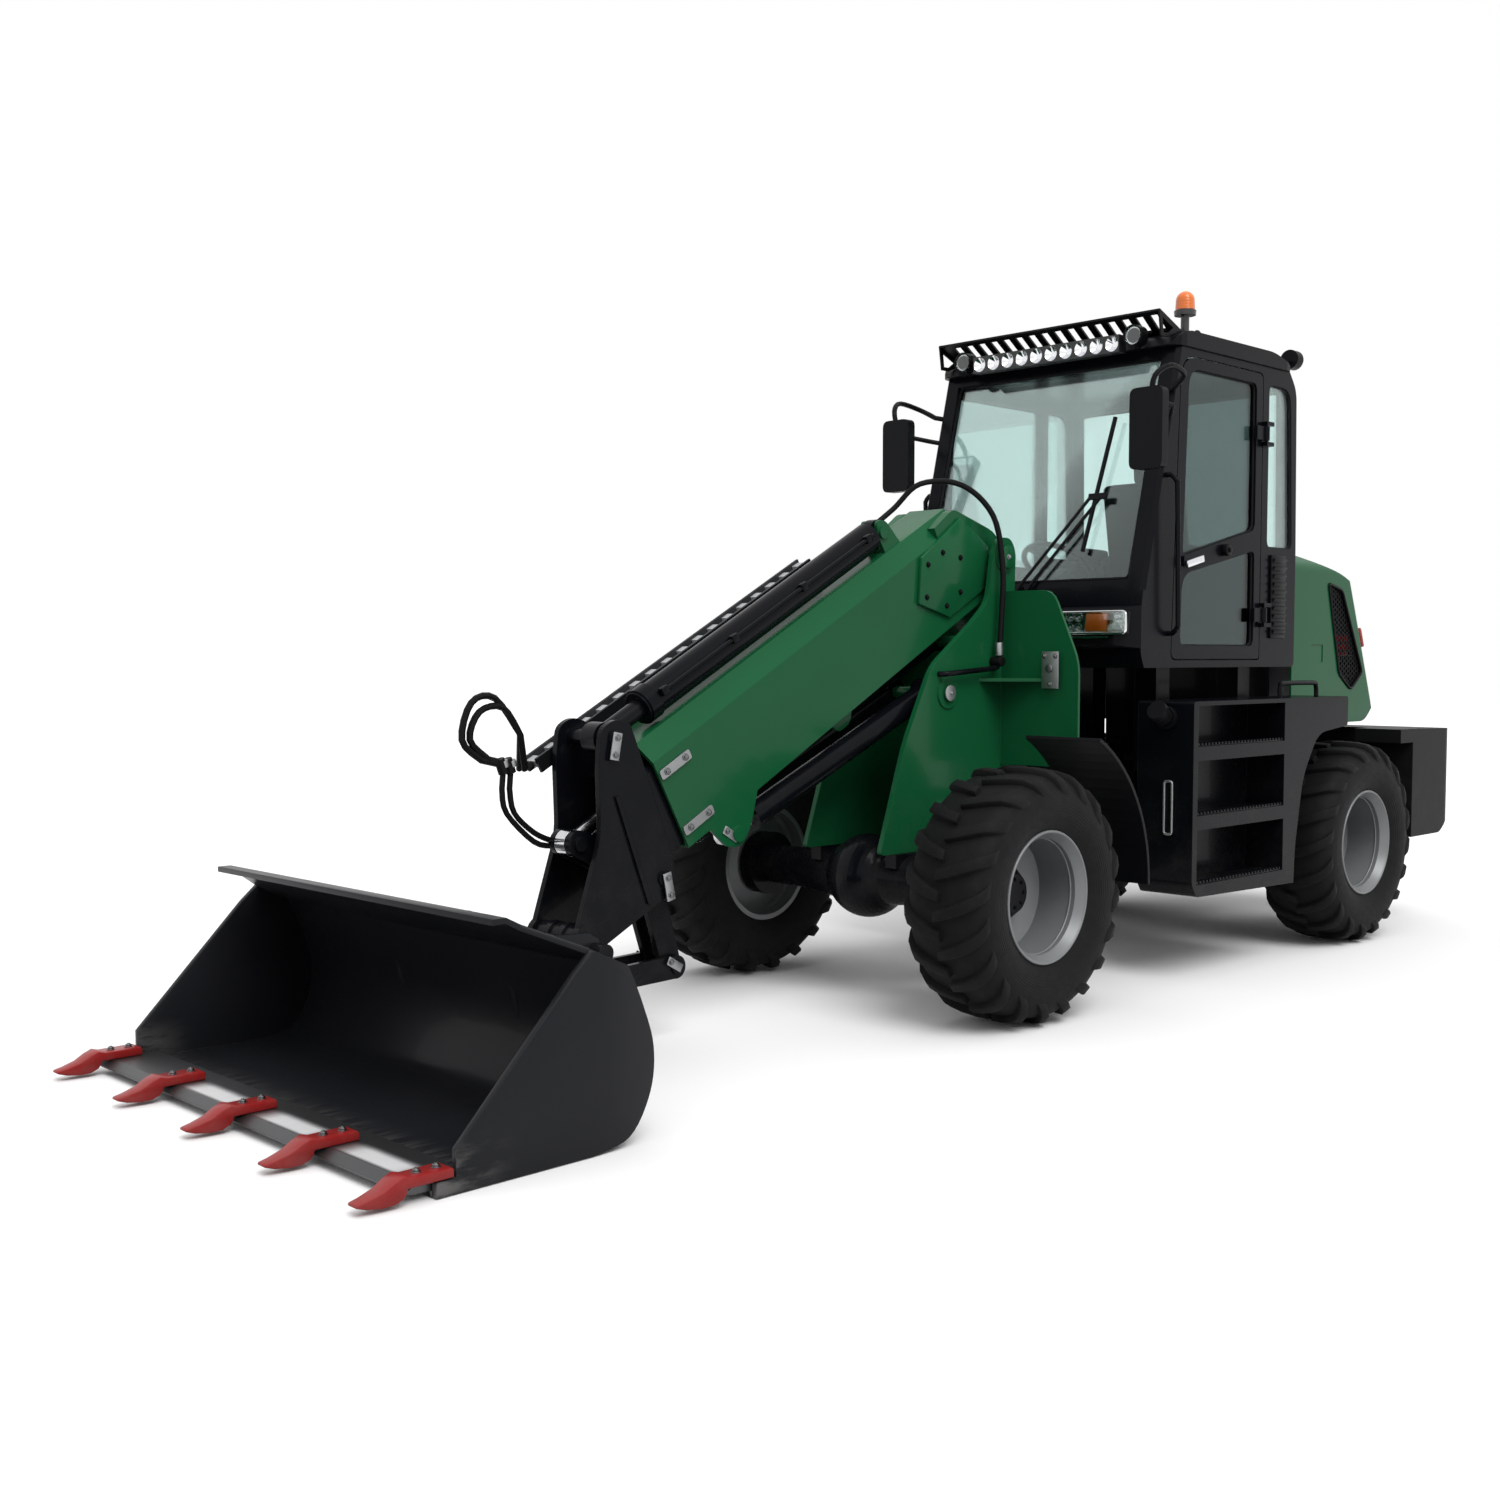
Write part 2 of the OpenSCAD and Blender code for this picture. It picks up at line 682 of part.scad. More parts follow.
// Coupler that turns on the boom head and carries the bucket
module coupler() color([0.05, 0.05, 0.055])
  difference() {
    union() {
      pin(pt_c, 48, -head_in + 6, head_in - 6);
      both()
        bar(pt_c, pt_h, 56, 44, bell_in - 8, bell_out - 4);
      bucket_frame() {
        both() {
          plate([[10, 30], [90, 4], [90, -166], [23, -207]], bell_in - 6, bell_out - 6);
          plate(soft([[85, -206], [300, -206], [300, -126], [160, 44], [85, 19]], [0, 20, 30, 30, 0]),
            300, 325);
        }
        translate([80, -330, -181])
          cube([25, 660, 200]);
        pin(bar_at, bar_r, -420, 420);
      }
    }
    pin(pt_c, pin_r + fit, -200, 200);
  }

// Bucket shell, sides, spill guard and the hooks over the coupler
floor_z = -456;
bucket_back = curve([[690, floor_z], [548, -424], [466, -300], [452, -160], [496, -20], [552, 104]], 5);
bucket_lip = [880, 266];
module bucket() color([0.05, 0.05, 0.055])
  bucket_frame()
    difference() {
      union() {
        plate(concat([[1247, floor_z]], bucket_back, [bucket_lip, bucket_lip + [50, 0], bucket_lip + [42, -20]],
          backwards(beside(bucket_back, -bucket_t)), [[1247, floor_z + bucket_t]]),
          -half + bucket_side - 1, half - bucket_side + 1);
        plate([bucket_lip + [-30, -18], bucket_lip + [-20, 12], bucket_lip + [50, 12],
          bucket_lip + [50, -22]], -half + bucket_side, half - bucket_side);
        both() {
          plate(concat([[1247, floor_z]], bucket_back, [[690, 166], [760, 104], [1180, -331],
            [1180, floor_z + bucket_t + 26], [1247, floor_z + bucket_t + 26]]), half - bucket_side, half);
          plate(soft([[125, -16], [118, 46], [170, 76], [540, 92], [515, -190], [465, -256],
            [310, -206], [310, -111], [190, -36]], [0, 16, 20, 0, 0, 30, 20, 30, 30]), 340, 365);
        }
      }
      both()
        translate([690, half, 169])
          linear_extrude(300)
            polygon([[-30, 1], [300, 1], [300, -170], [140, -170]]);
      pin(bar_at, bar_r + fit, -600, 600);
    }

edge_low = floor_z + bucket_t + 0.2;
edge_top = edge_low + 28;
module cutting_edge() color([0.4, 0.4, 0.41])
  bucket_frame()
    plate([[1120, edge_low], [1300, edge_low], [1330, edge_low + 6], [1330, edge_low + 12],
      [1290, edge_top], [1120, edge_top]], -half + bucket_side + 3, half - bucket_side - 3);

// Claw teeth bolted on the edge
module bucket_teeth() color([0.62, 0.07, 0.06])
  bucket_frame()
    for (i = [0 : tooth_count - 1])
      translate([0, -half + tooth_w / 2 + i * (bucket_w - tooth_w) / (tooth_count - 1), 0])
        intersection() {
          plate(concat([[1190, edge_top + 0.2], [1332, edge_top + 0.2], [1340, edge_low + 8]],
            curve([[1390, edge_low + 2], [1440, edge_low + 4], [tooth_reach, edge_low + 20]], 3),
            curve([[tooth_reach, edge_low + 30], [1440, edge_low + 50], [1375, edge_top + 46]], 3),
            [[1340, edge_top + 44], [1320, edge_top + 30], [1190, edge_top + 30]]),
            -tooth_w / 2, tooth_w / 2);
          translate([0, 0, floor_z])
            linear_extrude(300)
              polygon([[1180, -tooth_w / 2], [1340, -tooth_w / 2], [tooth_reach + 1, -tooth_w / 4],
                [tooth_reach + 1, tooth_w / 4], [1340, tooth_w / 2], [1180, tooth_w / 2]]);
        }

// Rear half

// Rear chassis with the outer half of the steering hinge
module rear_frame() color([0.05, 0.05, 0.055])
  union() {
    both() {
      plate([[hx - 200, 400], [hx - 360, 400], [-2000, 640], [-3500, 660], [-3500, 1010], [-1900, 1010],
        [hx - 200, 900]], 300, 330);
      translate([-1780, 325, 820])
        cube([120, step_in - 325, 120]);
      translate([-2300, 325, 900])
        cube([120, step_in - 325, 90]);
      translate([-1640, 380, 935])
        cube([120, 120, cab_floor - 935]);
      translate([-2420, 380, 985])
        cube([120, 120, cab_floor - 985]);
      translate([-2630, 430, 1000])
        cube([18, 30, 950]);
      plate([[-2612, 1940], [-2630, 1940], [hood_hx - 20, hood_hz - 16], [hood_hx - 20, hood_hz + 12],
        [hood_hx + 8, hood_hz + 12], [-2630, 1975], [-2612, 1960]], 430, 460);
      translate([-2420, 325, 985])
        cube([900, 200, 24]);
    }
    translate([hx - 230, -325, 400])
      cube([30, 650, 520]);
    for (z = [405, 495, 735, 825]) {
      translate([hx - 220, -100, z])
        cube([220, 200, 40]);
      translate([hx, 0, z])
        cylinder(r = 96, h = 40);
    }
    for (z = [405, 735])
      translate([hx, 0, z])
        cylinder(r = 45, h = 130);
    pin([hood_hx, hood_hz], 14, -500, 500);
    translate([-2630, -500, 990])
      cube([18, 1000, 960]);
    translate([rear_x - 150, -325, saddle_z])
      cube([300, 650, 30]);
    translate([-3500, -325, 660])
      cube([30, 650, 350]);
  }

module engine_block() color([0.3, 0.3, 0.31])
  translate([-3420, -270, saddle_z + 30])
    cube([640, 540, 820]);

// Counterweight with rounded corners, arched over the tyres and slotted for the tow pin
module counterweight() color([0.16, 0.17, 0.18])
  difference() {
    intersection() {
      union() {
        plate(soft([[-3500, 495], [-counter_back + 130, 495], [-counter_back, 580], [-counter_back, 1085],
          [-3500, 1095]], [0, 30, 30, 25, 0]), -counter_half, counter_half);
        both()
          plate([[-3345, 1020], [-3510, 1020], [-3510, 1095], [-3345, 1095]], 640, counter_half);
      }
      translate([0, 0, 400])
        linear_extrude(800)
          polygon(soft([[-3300, -counter_half], [-3300, counter_half], [-counter_back, counter_half],
            [-counter_back, -counter_half]], [0, 0, 70, 70]));
    }
    translate([-counter_back + 160, 0, 300])
      cylinder(r = tow_r, h = 420);
    translate([-counter_back - 100, -80, 585])
      cube([330, 160, 60]);
    both()
      translate([rear_x, 560, axle_z])
        rotate([-90, 0, 0])
          cylinder(r = tyre_r + 105, h = 500);
  }

// Tank and steps, left and right, with the guard over the rear tyre
box_front = -1145;
box_top = 1290;
step_zs = [455, 770, 1085];
module step_boxes() color([0.06, 0.06, 0.065])
  both()
    difference() {
      plate(soft([[box_front, 460], [box_front - 40, 400], [-2100, 380], [-2110, 560], [-2180, 900],
        [-2330, 1110], [-2650, 1140], [-2650, box_top], [box_front, box_top]],
        [20, 20, 0, 60, 80, 80, 20, 20, 15]), step_in, step_out);
      for (z = step_zs)
        translate([-1985, step_out - 200, z])
          cube([800, 400, z == step_zs[2] ? 185 : 250]);
      translate([rear_x, step_in - 50, axle_z])
        rotate([-90, 0, 0])
          cylinder(r = tyre_r + 60, h = 500);
    }

// Filler neck with its cap, and the level gauge, on the left tank's front face
module tank_fittings() color([0.1, 0.1, 0.105])
  translate([box_front + seal, 0, 0]) {
    translate([0, 795, 1215])
      rotate([0, 90, 0])
        cylinder(r = 52, h = 24);
    translate([24, 795, 1215])
      rotate([0, 62, 0]) {
        cylinder(r = 38, h = 50);
        translate([0, 0, 48])
          cylinder(r = 46, h = 34);
      }
    difference() {
      translate([0, 786, 680])
        cube([9, 48, 250]);
      translate([3, 802, 720])
        cube([9, 16, 170]);
    }
  }

// Door hinge: the pin on the cab, or the knuckle on the door
module hinge_pin()
  for (z = [1700, 2600]) {
    translate([door_hx, door_hy, z - 60])
      cylinder(r = 9, h = 120);
    for (e = [z - 60, z + 40])
      translate([door_hx - 60, cab_half, e])
        cube([70, 28, 20]);
  }

module hinge_knuckle()
  for (z = [1700, 2600])
    difference() {
      union() {
        translate([door_hx, door_hy, z - 34])
          cylinder(r = 16, h = 68);
        translate([door_hx, cab_half + 8, z - 34])
          cube([90, 10, 68]);
        translate([door_hx + 30, cab_half - 2, z - 34])
          cube([60, 12, 68]);
      }
      translate([door_hx, door_hy, z - 100])
        cylinder(r = 9 + fit, h = 200);
    }

// Window outlines, shared by the cab or the door and the panes that fill them
function door_side(g) = [[door_rear + g, door_low + g], [door_front + door_lean - g, door_low + g],
  [door_front - g, door_high - g], [door_rear + g, door_high - g]];
function door_pane(g) = [[door_rear + 65 + g, 2120 + g], [door_front - 38 - g, 1965 + g],
  [door_front - 78 - g, pane_top - 8 - g], [door_rear + 65 + g, pane_top - 8 - g]];
function low_pane(g) = [[door_rear + 65 + g, 1545 + g], [door_front - 26 - g, 1545 + g],
  [door_front - 36 - g, 1880 - g], [door_rear + 65 + g, 2020 - g]];
function right_pane(g) = [[door_rear + g, 1980 + g], [door_front + 30 - g, 1980 + g],
  [door_front - 10 - g, pane_top - g], [door_rear + g, pane_top - g]];
function rear_pane(g) = [[door_rear - 60 - g, 2040 + g], [cab_rear + 45 + g, 2040 + g], [-2445 + g, pane_top - g],
  [door_rear - 60 - g, pane_top - g]];
pane_corner = [40, 40, 90, 40];

// Cab structure with its window openings
cab_side = [[-1110, cab_floor], [-1080, 1500], [-1080, 1720], [-1095, 1800], [-1378, cab_top],
  [-2430, cab_top], [-2505, 2850], [cab_rear, 2000], [cab_rear, cab_floor]];
front_lean = atan2(283, cab_top - 1800);
module cab_frame() color([0.06, 0.06, 0.065]) {
  hinge_pin();
  difference() {
    plate(soft(cab_side, [0, 30, 30, 60, 0, 0, 60, 60, 30]), -cab_half, cab_half);
    plate([[-1120, 1480], [-1120, 1600], [-1136, 1800], [-1412, cab_top - 37], [-2400, cab_top - 37],
      [-2461, 2830], [cab_rear + 44, 2000], [cab_rear + 44, 1480]], -cab_half + cab_t, cab_half - cab_t);
    // Windscreen, rear window, side windows and doorway
    plate([[-900, 1850], [-1150, 1850], [-1430, cab_top - 52], [-1200, cab_top - 52]],
      -cab_half + 90, cab_half - 90);
    plate([[-2400, 2050], [-2700, 2050], [-2700, pane_top], [-2400, pane_top]], -cab_half + 90,
      cab_half - 90);
    plate(soft(door_side(0), [20, 40, 130, 40]), 0, cab_half + 10);
    plate(soft(right_pane(0), pane_corner), -cab_half - 10, 0);
    both() {
      plate(soft(rear_pane(0), pane_corner), 0, cab_half + 10);
      // Front posts with their outer corner cut
      translate([-1095, cab_half, 1800])
        rotate([0, -front_lean, 0])
          linear_extrude(1300)
            polygon([[20, 20], [20, -40], [-40, 20]]);
    }
  }
}

module cab_roof() color([0.06, 0.06, 0.065])
  intersection() {
    plate(soft([[roof_front, cab_top], [-1370, roof_z - 30], [-1440, roof_z], [-2254, roof_z], [-2400, roof_z - 36],
      [-2470, cab_top]], [0, 20, 40, 60, 60, 0]), -cab_half - 12, cab_half + 12);
    translate([0, 0, cab_top - 10])
      linear_extrude(roof_t + 20)
        polygon(soft([[roof_front, -cab_half - 12], [roof_front, cab_half + 12], [-2470, cab_half + 12],
          [-2470, -cab_half - 12]], 90));
  }

module cab_glass() color([0.35, 0.45, 0.42, 0.5])
  union() {
    plate([[-1116, 1850 + seal], [-1116 - glass_t, 1850 + seal], [-1393 - glass_t, cab_top - 52 - seal],
      [-1393, cab_top - 52 - seal]], -cab_half + 90 + seal, cab_half - 90 - seal);
    plate([[cab_rear + 20, 2050 + seal], [cab_rear + 20 + glass_t, 2050 + seal],
      [cab_rear + 38 + glass_t, pane_top - seal], [cab_rear + 38, pane_top - seal]], -cab_half + 90 + seal, cab_half - 90 - seal);
    plate(soft(right_pane(seal), pane_corner), -cab_half + 12, -cab_half + 12 + glass_t);
    both()
      plate(soft(rear_pane(seal), pane_corner), cab_half - 12 - glass_t, cab_half - 12);
  }

// Twin-arm wiper parked across the windscreen
module wiper() color([0.04, 0.04, 0.045])
  translate([-1095, 0, 1800])
    rotate([0, 90 - front_lean, 0])
      rotate([0, 0, 90])
        translate([0, 0, 0]) {
          for (x = [0, 60])
            translate([x, 20, seal])
              cylinder(r = 16, h = 32);
          for (x = [0, 60])
            translate([x, 20, 16])
              rotate([0, 0, -38])
                translate([-7, 0, 0])
                  cube([14, 560, 8]);
          translate([330, 190, 8])
            rotate([0, 0, -6])
              cube([16, 660, 14]);
          translate([330, 440, 16])
            cube([100, 30, 10]);
        }

module operator_seat() color([0.08, 0.08, 0.085])
  union() {
    translate([-2200, -150, cab_floor + 40])
      cube([320, 300, 262]);
    plate(soft([[-2250, 1741], [-1740, 1741], [-1735, 1830], [-1800, 1862], [-2250, 1850]],
      [20, 20, 30, 40, 20]), -250, 250);
    plate(soft([[-2120, 1840], [-2255, 1840], [-2340, 2360], [-2325, 2420], [-2260, 2420], [-2220, 2360]],
      [0, 0, 20, 30, 30, 30]), -235, 235);
    plate(soft([[-2240, 2400], [-2330, 2400], [-2350, 2620], [-2270, 2630]], 25), -130, 130);
    both()
      plate(soft([[-1900, 2010], [-2260, 2010], [-2260, 2070], [-1900, 2070]], 25), 250, 310);
    both()
      plate([[-2180, 1850], [-2240, 1850], [-2240, 2020], [-2180, 2020]], 234, 270);
  }

module steering_console() color([0.07, 0.07, 0.075])
  union() {
    plate(soft([[-1180, cab_floor + 40], [-1330, cab_floor + 40], [-1400, 1900], [-1340, 1930], [-1230, 1880]],
      [0, 0, 20, 30, 40]), -130, 130);
    translate([-1400, 0, 1930])
      rotate([0, -35, 0]) {
        translate([0, 0, -60])
          cylinder(r = 22, h = 76);
        translate([0, 0, 16])
          rotate_extrude($fn = 48)
            translate([176, 0])
              circle(r = 14, $fn = 24);
        for (a = [90, 210, 330])
          rotate([0, 0, a])
            translate([0, -16, 10])
              cube([174, 32, 12]);
      }
  }

// Lamp pods at the cab's front corners, and the lamps set in them
lamp_front = -1004;
module lamp_pods() color([0.06, 0.06, 0.065])
  both()
    difference() {
      intersection() {
        plate(soft([[-1080, 1530], [lamp_front, 1545], [lamp_front - 30, 1712], [-1080, 1725]],
          [0, 14, 14, 0]), 270, cab_half);
        translate([0, 0, 1500])
          linear_extrude(300)
            polygon(soft([[-1080, 270], [lamp_front, 270], [lamp_front, 590], [-1080, cab_half]],
              [0, 14, 80, 0]));
      }
      plate([[lamp_front - 45, 1572], [lamp_front + 20, 1572], [lamp_front + 20, 1690],
        [lamp_front - 45, 1690]], 292, 560);
    }

module headlamps() color([0.75, 0.76, 0.78])
  both()
    plate(soft([[lamp_front - 45 + seal, 1572 + seal], [lamp_front - 14, 1572 + seal], [lamp_front - 32, 1690 - seal],
      [lamp_front - 45 + seal, 1690 - seal]], [0, 8, 6, 0]), 292 + seal, 560 - seal);

// Slotted sun visor over the lamps, with its end brackets
module roof_visor() color([0.06, 0.06, 0.065]) {
  visor_half = cab_half - 40;
  difference() {
    plate([[-1500, roof_z + seal], [-1440, roof_z + seal], [-1262, roof_z + 72], [-1266, roof_z + 82], [-1446, roof_z + 12],
      [-1500, roof_z + 10]], -visor_half, visor_half);
    for (i = [0 : 15])
      translate([-1420, -visor_half + 55 + i * (2 * visor_half - 150) / 15, roof_z - 20])
        linear_extrude(200)
          polygon([[0, 0], [130, 26], [130, 66], [0, 40]]);
  }
  both()
    difference() {
      plate([[-1440, roof_z + seal], [-1264, roof_z + 74], [-1282, roof_z - 40], [-1340, roof_z - 40]],
        visor_half - 8, visor_half);
      plate([[-1384, roof_z + 8], [-1290, roof_z + 46], [-1300, roof_z - 22], [-1338, roof_z - 22]],
        visor_half - 20, visor_half + 20);
    }
}

// Row of round reflectors under the visor
module light_bar() color([0.7, 0.71, 0.72]) {
  bar_half = 430;
  lamp_pitch = (2 * bar_half - 80) / (lamp_count - 1);
  difference() {
    translate([roof_front + seal, -bar_half, cab_top - 12])
      cube([60, 2 * bar_half, 82]);
    for (i = [0 : lamp_count - 1])
      translate([roof_front + 35, -bar_half + 40 + i * lamp_pitch, cab_top + 29])
        rotate([0, 90, 0])
          cylinder(r1 = 12, r2 = min(36, lamp_pitch / 2 - 4), h = 26);
  }
}

// Round work lamps on short stalks, front and rear
module round_lamp(x, y, z, way)
  translate([x, y, z]) {
    difference() {
      rotate([0, way * 90, 0])
        cylinder(r = 50, h = 60);
      translate([way * 48, 0, 0])
        rotate([0, way * 90, 0])
          cylinder(r = 43, h = 20);
    }
    translate([way * 12, 0, 0])
      rotate([0, way * 90, 0])
        cylinder(r1 = 30, r2 = 34, h = 40);
  }

module work_lamps() color([0.1, 0.1, 0.105])
  both() {
    round_lamp(roof_front + seal, 502, roof_z - 20, 1);
    translate([roof_front + seal, 490, cab_top])
      cube([20, 24, 40]);
    round_lamp(-2590, 600, roof_z + 20, -1);
    translate([-2600, 588, roof_z + seal])
      cube([500, 24, 12]);
  }

// Rotating beacon on its post
module beacon() color([0.9, 0.35, 0.05])
  translate([-1535, 620, roof_z])
    rotate_extrude()
      polygon(concat([[0, 0], [20, 0], [20, 90], [50, 90], [52, 112], [46, 116]],
        [for (p = arc([0, 160], 44, 0, 90, 6)) p]));

// A place on the cut corner of the left front post, at a distance up the post and out from it
function on_post(up, out) = [-1095, cab_half, 1800]
  + up * [-sin(front_lean), 0, cos(front_lean)]
  + (out / sqrt(2) - 10) * [cos(front_lean), 1, sin(front_lean)];

// Mirrors on bent tubes from the front posts
module mirrors() color([0.06, 0.06, 0.065])
  both() {
    translate([-1075, 0, 0])
      rotate([90, 0, 90])
        linear_extrude(52)
          polygon(soft([[cab_half - 40, 2335], [cab_half + 130, 2335], [cab_half + 130, 2700],
            [cab_half - 40, 2700]], 35));
    hose(concat([on_post(960, seal)], curve([on_post(960, 40), [-1270, cab_half + 90, 2780],
      [-1130, cab_half + 105, 2800], [-1050, cab_half + 75, 2750], [-1048, cab_half + 56, 2660]], 4)), 13,
      [0.1, 0.3, 1]);
    hose(concat([on_post(830, seal)], [on_post(830, 40), [-1180, cab_half + 85, 2630],
      [-1040, cab_half + 70, 2640]]), 12, [0, 0, 1]);
  }

// Rails by the door and on the steps
module handrails() color([0.06, 0.06, 0.065])
  both() {
    y = cab_half + seal;
    hose(concat([[-1276, y, 2330]], curve([[-1276, y + 25, 2330], [-1278, y + 52, 2300], [-1284, y + 56, 2240],
      [-1302, y + 56, 1690], [-1306, y + 52, 1630], [-1306, y + 25, 1600]], 3), [[-1306, y, 1600]]), 12,
      [1, 0, 0.05]);
    z = box_top + seal;
    hose(concat([[-2080, 850, z]], curve([[-2080, 850, z + 30], [-2088, 850, z + 58], [-2120, 850, z + 70],
      [-2420, 850, z + 70], [-2452, 850, z + 58], [-2460, 850, z + 30]], 3), [[-2460, 850, z]]), 12, [0, 1, 0]);
  }

// Door with its frame and handle, hinged at its rear edge
module cab_door() color([0.06, 0.06, 0.065]) {
  hinge_knuckle();
  difference() {
    plate(soft(door_side(panel_gap), [20, 40, 130, 40]), cab_half - cab_t + 5, cab_half);
    plate(soft(door_pane(0), pane_corner), 0, 900);
    plate(soft(low_pane(0), pane_corner), 0, 900);
  }
  plate(soft([[-1560, 1915], [-1400, 1915], [-1400, 1965], [-1560, 1965]], 15), cab_half - 1, cab_half + 26);
}

module door_glass() color([0.35, 0.45, 0.42, 0.5])
  union() {
    plate(soft(door_pane(seal), pane_corner), cab_half - 18 - glass_t, cab_half - 18);
    plate(soft(low_pane(seal), pane_corner), cab_half - 18 - glass_t, cab_half - 18);
  }

// Engine hood, hollow, hinged at its front top edge: side, slanting corner and section outlines meet
hood_front = -2640;
hood_rear = -3726;
crease_lean = 22.8;
module hood_form(t, front) {
  w = hood_half - t;
  intersection() {
    plate(soft([[front, 1130 - 3 * t], [front, 2032 - t], [-2720, 2034 - t], [-3228, 1935 - t],
      [-3641 + t, 1755 - t], [hood_rear + t, 1330], [-3500 + t, 1130 - 3 * t]],
      [0, 0, 60, 120, 90, 60, 60]), -w, w);
    rotate([0, crease_lean, 0])
      translate([0, 0, -900])
        linear_extrude(2300)
          polygon([[-2500, -w], [-2500, w], [-3769 + t, w], [-4069 + t, w - 150], [-4069 + t, 150 - w],
            [-3769 + t, -w]]);
    translate([-2500, 0, 0])
      rotate([90, 0, -90])
        linear_extrude(1400)
          polygon(soft([[-w, 1000], [w, 1000], [w, 1975 - t], [w - 60, 2040 - t], [60 - w, 2040 - t],
            [-w, 1975 - t]], [0, 0, 30, 30, 30, 30]));
  }
}

grille_side = [[-3033, 1890], [-3195, 1855], [-3452, 1405], [-3316, 1310], [-3172, 1400]];
rear_low = 1400;
rear_high = 1640;
rear_half = 300;
module hood() color([0.04, 0.38, 0.15]) {
  both()
    difference() {
      union() {
        pin([hood_hx, hood_hz], 26, 405, 425);
        plate([[hood_hx - 60, hood_hz + 15], [hood_hx - 20, hood_hz - 15], [hood_hx + 10, hood_hz - 15],
          [hood_hx + 11, hood_hz + 28], [hood_hx - 60, hood_hz + 28]], 405, 425);
      }
      pin([hood_hx, hood_hz], 14 + fit, 300, 600);
    }
  difference() {
    hood_form(0, hood_front);
    hood_form(hood_t, hood_front + 40);
    both() {
      plate(soft(grille_side, 20), 0, 900);
      plate([[-2850, 1462], [-2985, 1462], [-2985, 1556], [-2850, 1556]], hood_half - 4, 900);
      translate([-3800, 330, 1500])
        cube([200, 120, 120]);
    }
    plate([[-3560, rear_low], [-3800, rear_low], [-3800, rear_high], [-3560, rear_high]], -rear_half, rear_half);
  }
}

// Slatted panels behind the hood's openings
module slats(pts, low, high)
  difference() {
    polygon(pts);
    intersection() {
      offset(delta = -24)
        polygon(pts);
      for (z = [low : slat_pitch : high])
        translate([-4000, z])
          square([5000, slat_pitch - slat_t]);
    }
  }

module hood_grilles() color([0.06, 0.06, 0.065]) {
  grille_back = [for (p = grille_side) p + 18 * unit(p - [-3240, 1600])];
  both()
    translate([0, hood_half - hood_t - seal, 0])
      rotate([90, 0, 0])
        linear_extrude(8)
          slats(grille_back, 1300, 1900);
  grille_half = rear_half + 20;
  low = rear_low - 1340;
  high = rear_high - 1320;
  translate([hood_rear + hood_t + 0.6, 0, 1330])
    rotate([0, atan2(85, 425 - hood_t), 0])
      rotate([90, 0, 90])
        linear_extrude(10)
          slats([[-grille_half, low], [grille_half, low], [grille_half, high], [-grille_half, high]],
            low + 30, high);
}

module tail_lamps() color([0.6, 0.05, 0.04])
  both()
    translate([-3700, 330 + seal, 1500 + seal])
      cube([60, 120 - 2 * seal, 120 - 2 * seal]);

// Shifts the whole machine so that the origin is under its middle
module placed()
  translate([shift_x, 0, 0])
    children();

placed() rear_frame();
placed() rear_axle();
placed() engine_block();
placed() counterweight();
placed() step_boxes();
placed() tank_fittings();
placed() cab_frame();
placed() cab_roof();
placed() cab_glass();
placed() wiper();
placed() operator_seat();
placed() steering_console();
placed() lamp_pods();
placed() headlamps();
placed() roof_visor();
placed() light_bar();
placed() work_lamps();
placed() beacon();
placed() mirrors();
placed() handrails();
placed() cab_door();
placed() door_glass();
placed() hood();
placed() hood_grilles();
placed() tail_lamps();
placed() front_frame();
placed() front_axle();
placed() front_fenders();
placed() outer_boom();
placed() wear_pads();
placed() extension_barrel();
placed() boom_hoses();
placed() inner_boom();
placed() extension_rod();
placed() hose_carrier();
placed() head_hoses();
placed() lift_barrels();
placed() lift_rods();
placed() level_barrel();
placed() level_rod();
placed() tilt_barrel();
placed() tilt_rod();
placed() bellcrank();
placed() tilt_link();
placed() coupler();
placed() bucket();
placed() cutting_edge();
placed() bucket_teeth();
placed() tyre_fl();
placed() rim_fl();
placed() tyre_fr();
placed() rim_fr();
placed() tyre_rl();
placed() rim_rl();
placed() tyre_rr();
placed() rim_rr();
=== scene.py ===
# %% [markdown]
# # A telescopic wheel loader, dressed
# The solids of the machine come from the imported model, already in metres and in place. This
# lesson gives them their finishes and adds the small things that a solid model leaves out:
# bolts, seals, lenses, cushions, mesh and treads. Every new piece rides on one of the model's
# bodies, except the hose over the boom's pivot, which rides on none.

# %% Load the imported model
import json
import math
import bpy
from mathutils import Matrix, Vector


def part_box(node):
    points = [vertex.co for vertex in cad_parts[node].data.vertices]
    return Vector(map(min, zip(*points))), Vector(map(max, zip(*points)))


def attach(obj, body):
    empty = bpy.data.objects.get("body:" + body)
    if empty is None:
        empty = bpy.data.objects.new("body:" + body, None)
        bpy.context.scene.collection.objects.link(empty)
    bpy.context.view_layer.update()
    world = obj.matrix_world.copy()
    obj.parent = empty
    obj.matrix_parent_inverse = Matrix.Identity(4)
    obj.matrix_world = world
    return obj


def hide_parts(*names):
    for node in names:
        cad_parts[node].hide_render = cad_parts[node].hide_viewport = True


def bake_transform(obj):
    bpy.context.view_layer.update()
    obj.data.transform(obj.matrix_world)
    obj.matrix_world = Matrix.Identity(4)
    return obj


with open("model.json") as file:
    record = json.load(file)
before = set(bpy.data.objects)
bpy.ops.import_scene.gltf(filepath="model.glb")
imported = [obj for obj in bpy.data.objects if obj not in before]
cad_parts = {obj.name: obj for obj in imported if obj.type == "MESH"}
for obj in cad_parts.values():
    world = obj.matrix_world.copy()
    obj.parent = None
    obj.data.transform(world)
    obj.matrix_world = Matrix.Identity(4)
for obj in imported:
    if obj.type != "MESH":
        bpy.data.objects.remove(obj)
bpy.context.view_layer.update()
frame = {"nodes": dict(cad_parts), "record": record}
scene = bpy.context.scene
scene.view_settings.view_transform = "Standard"
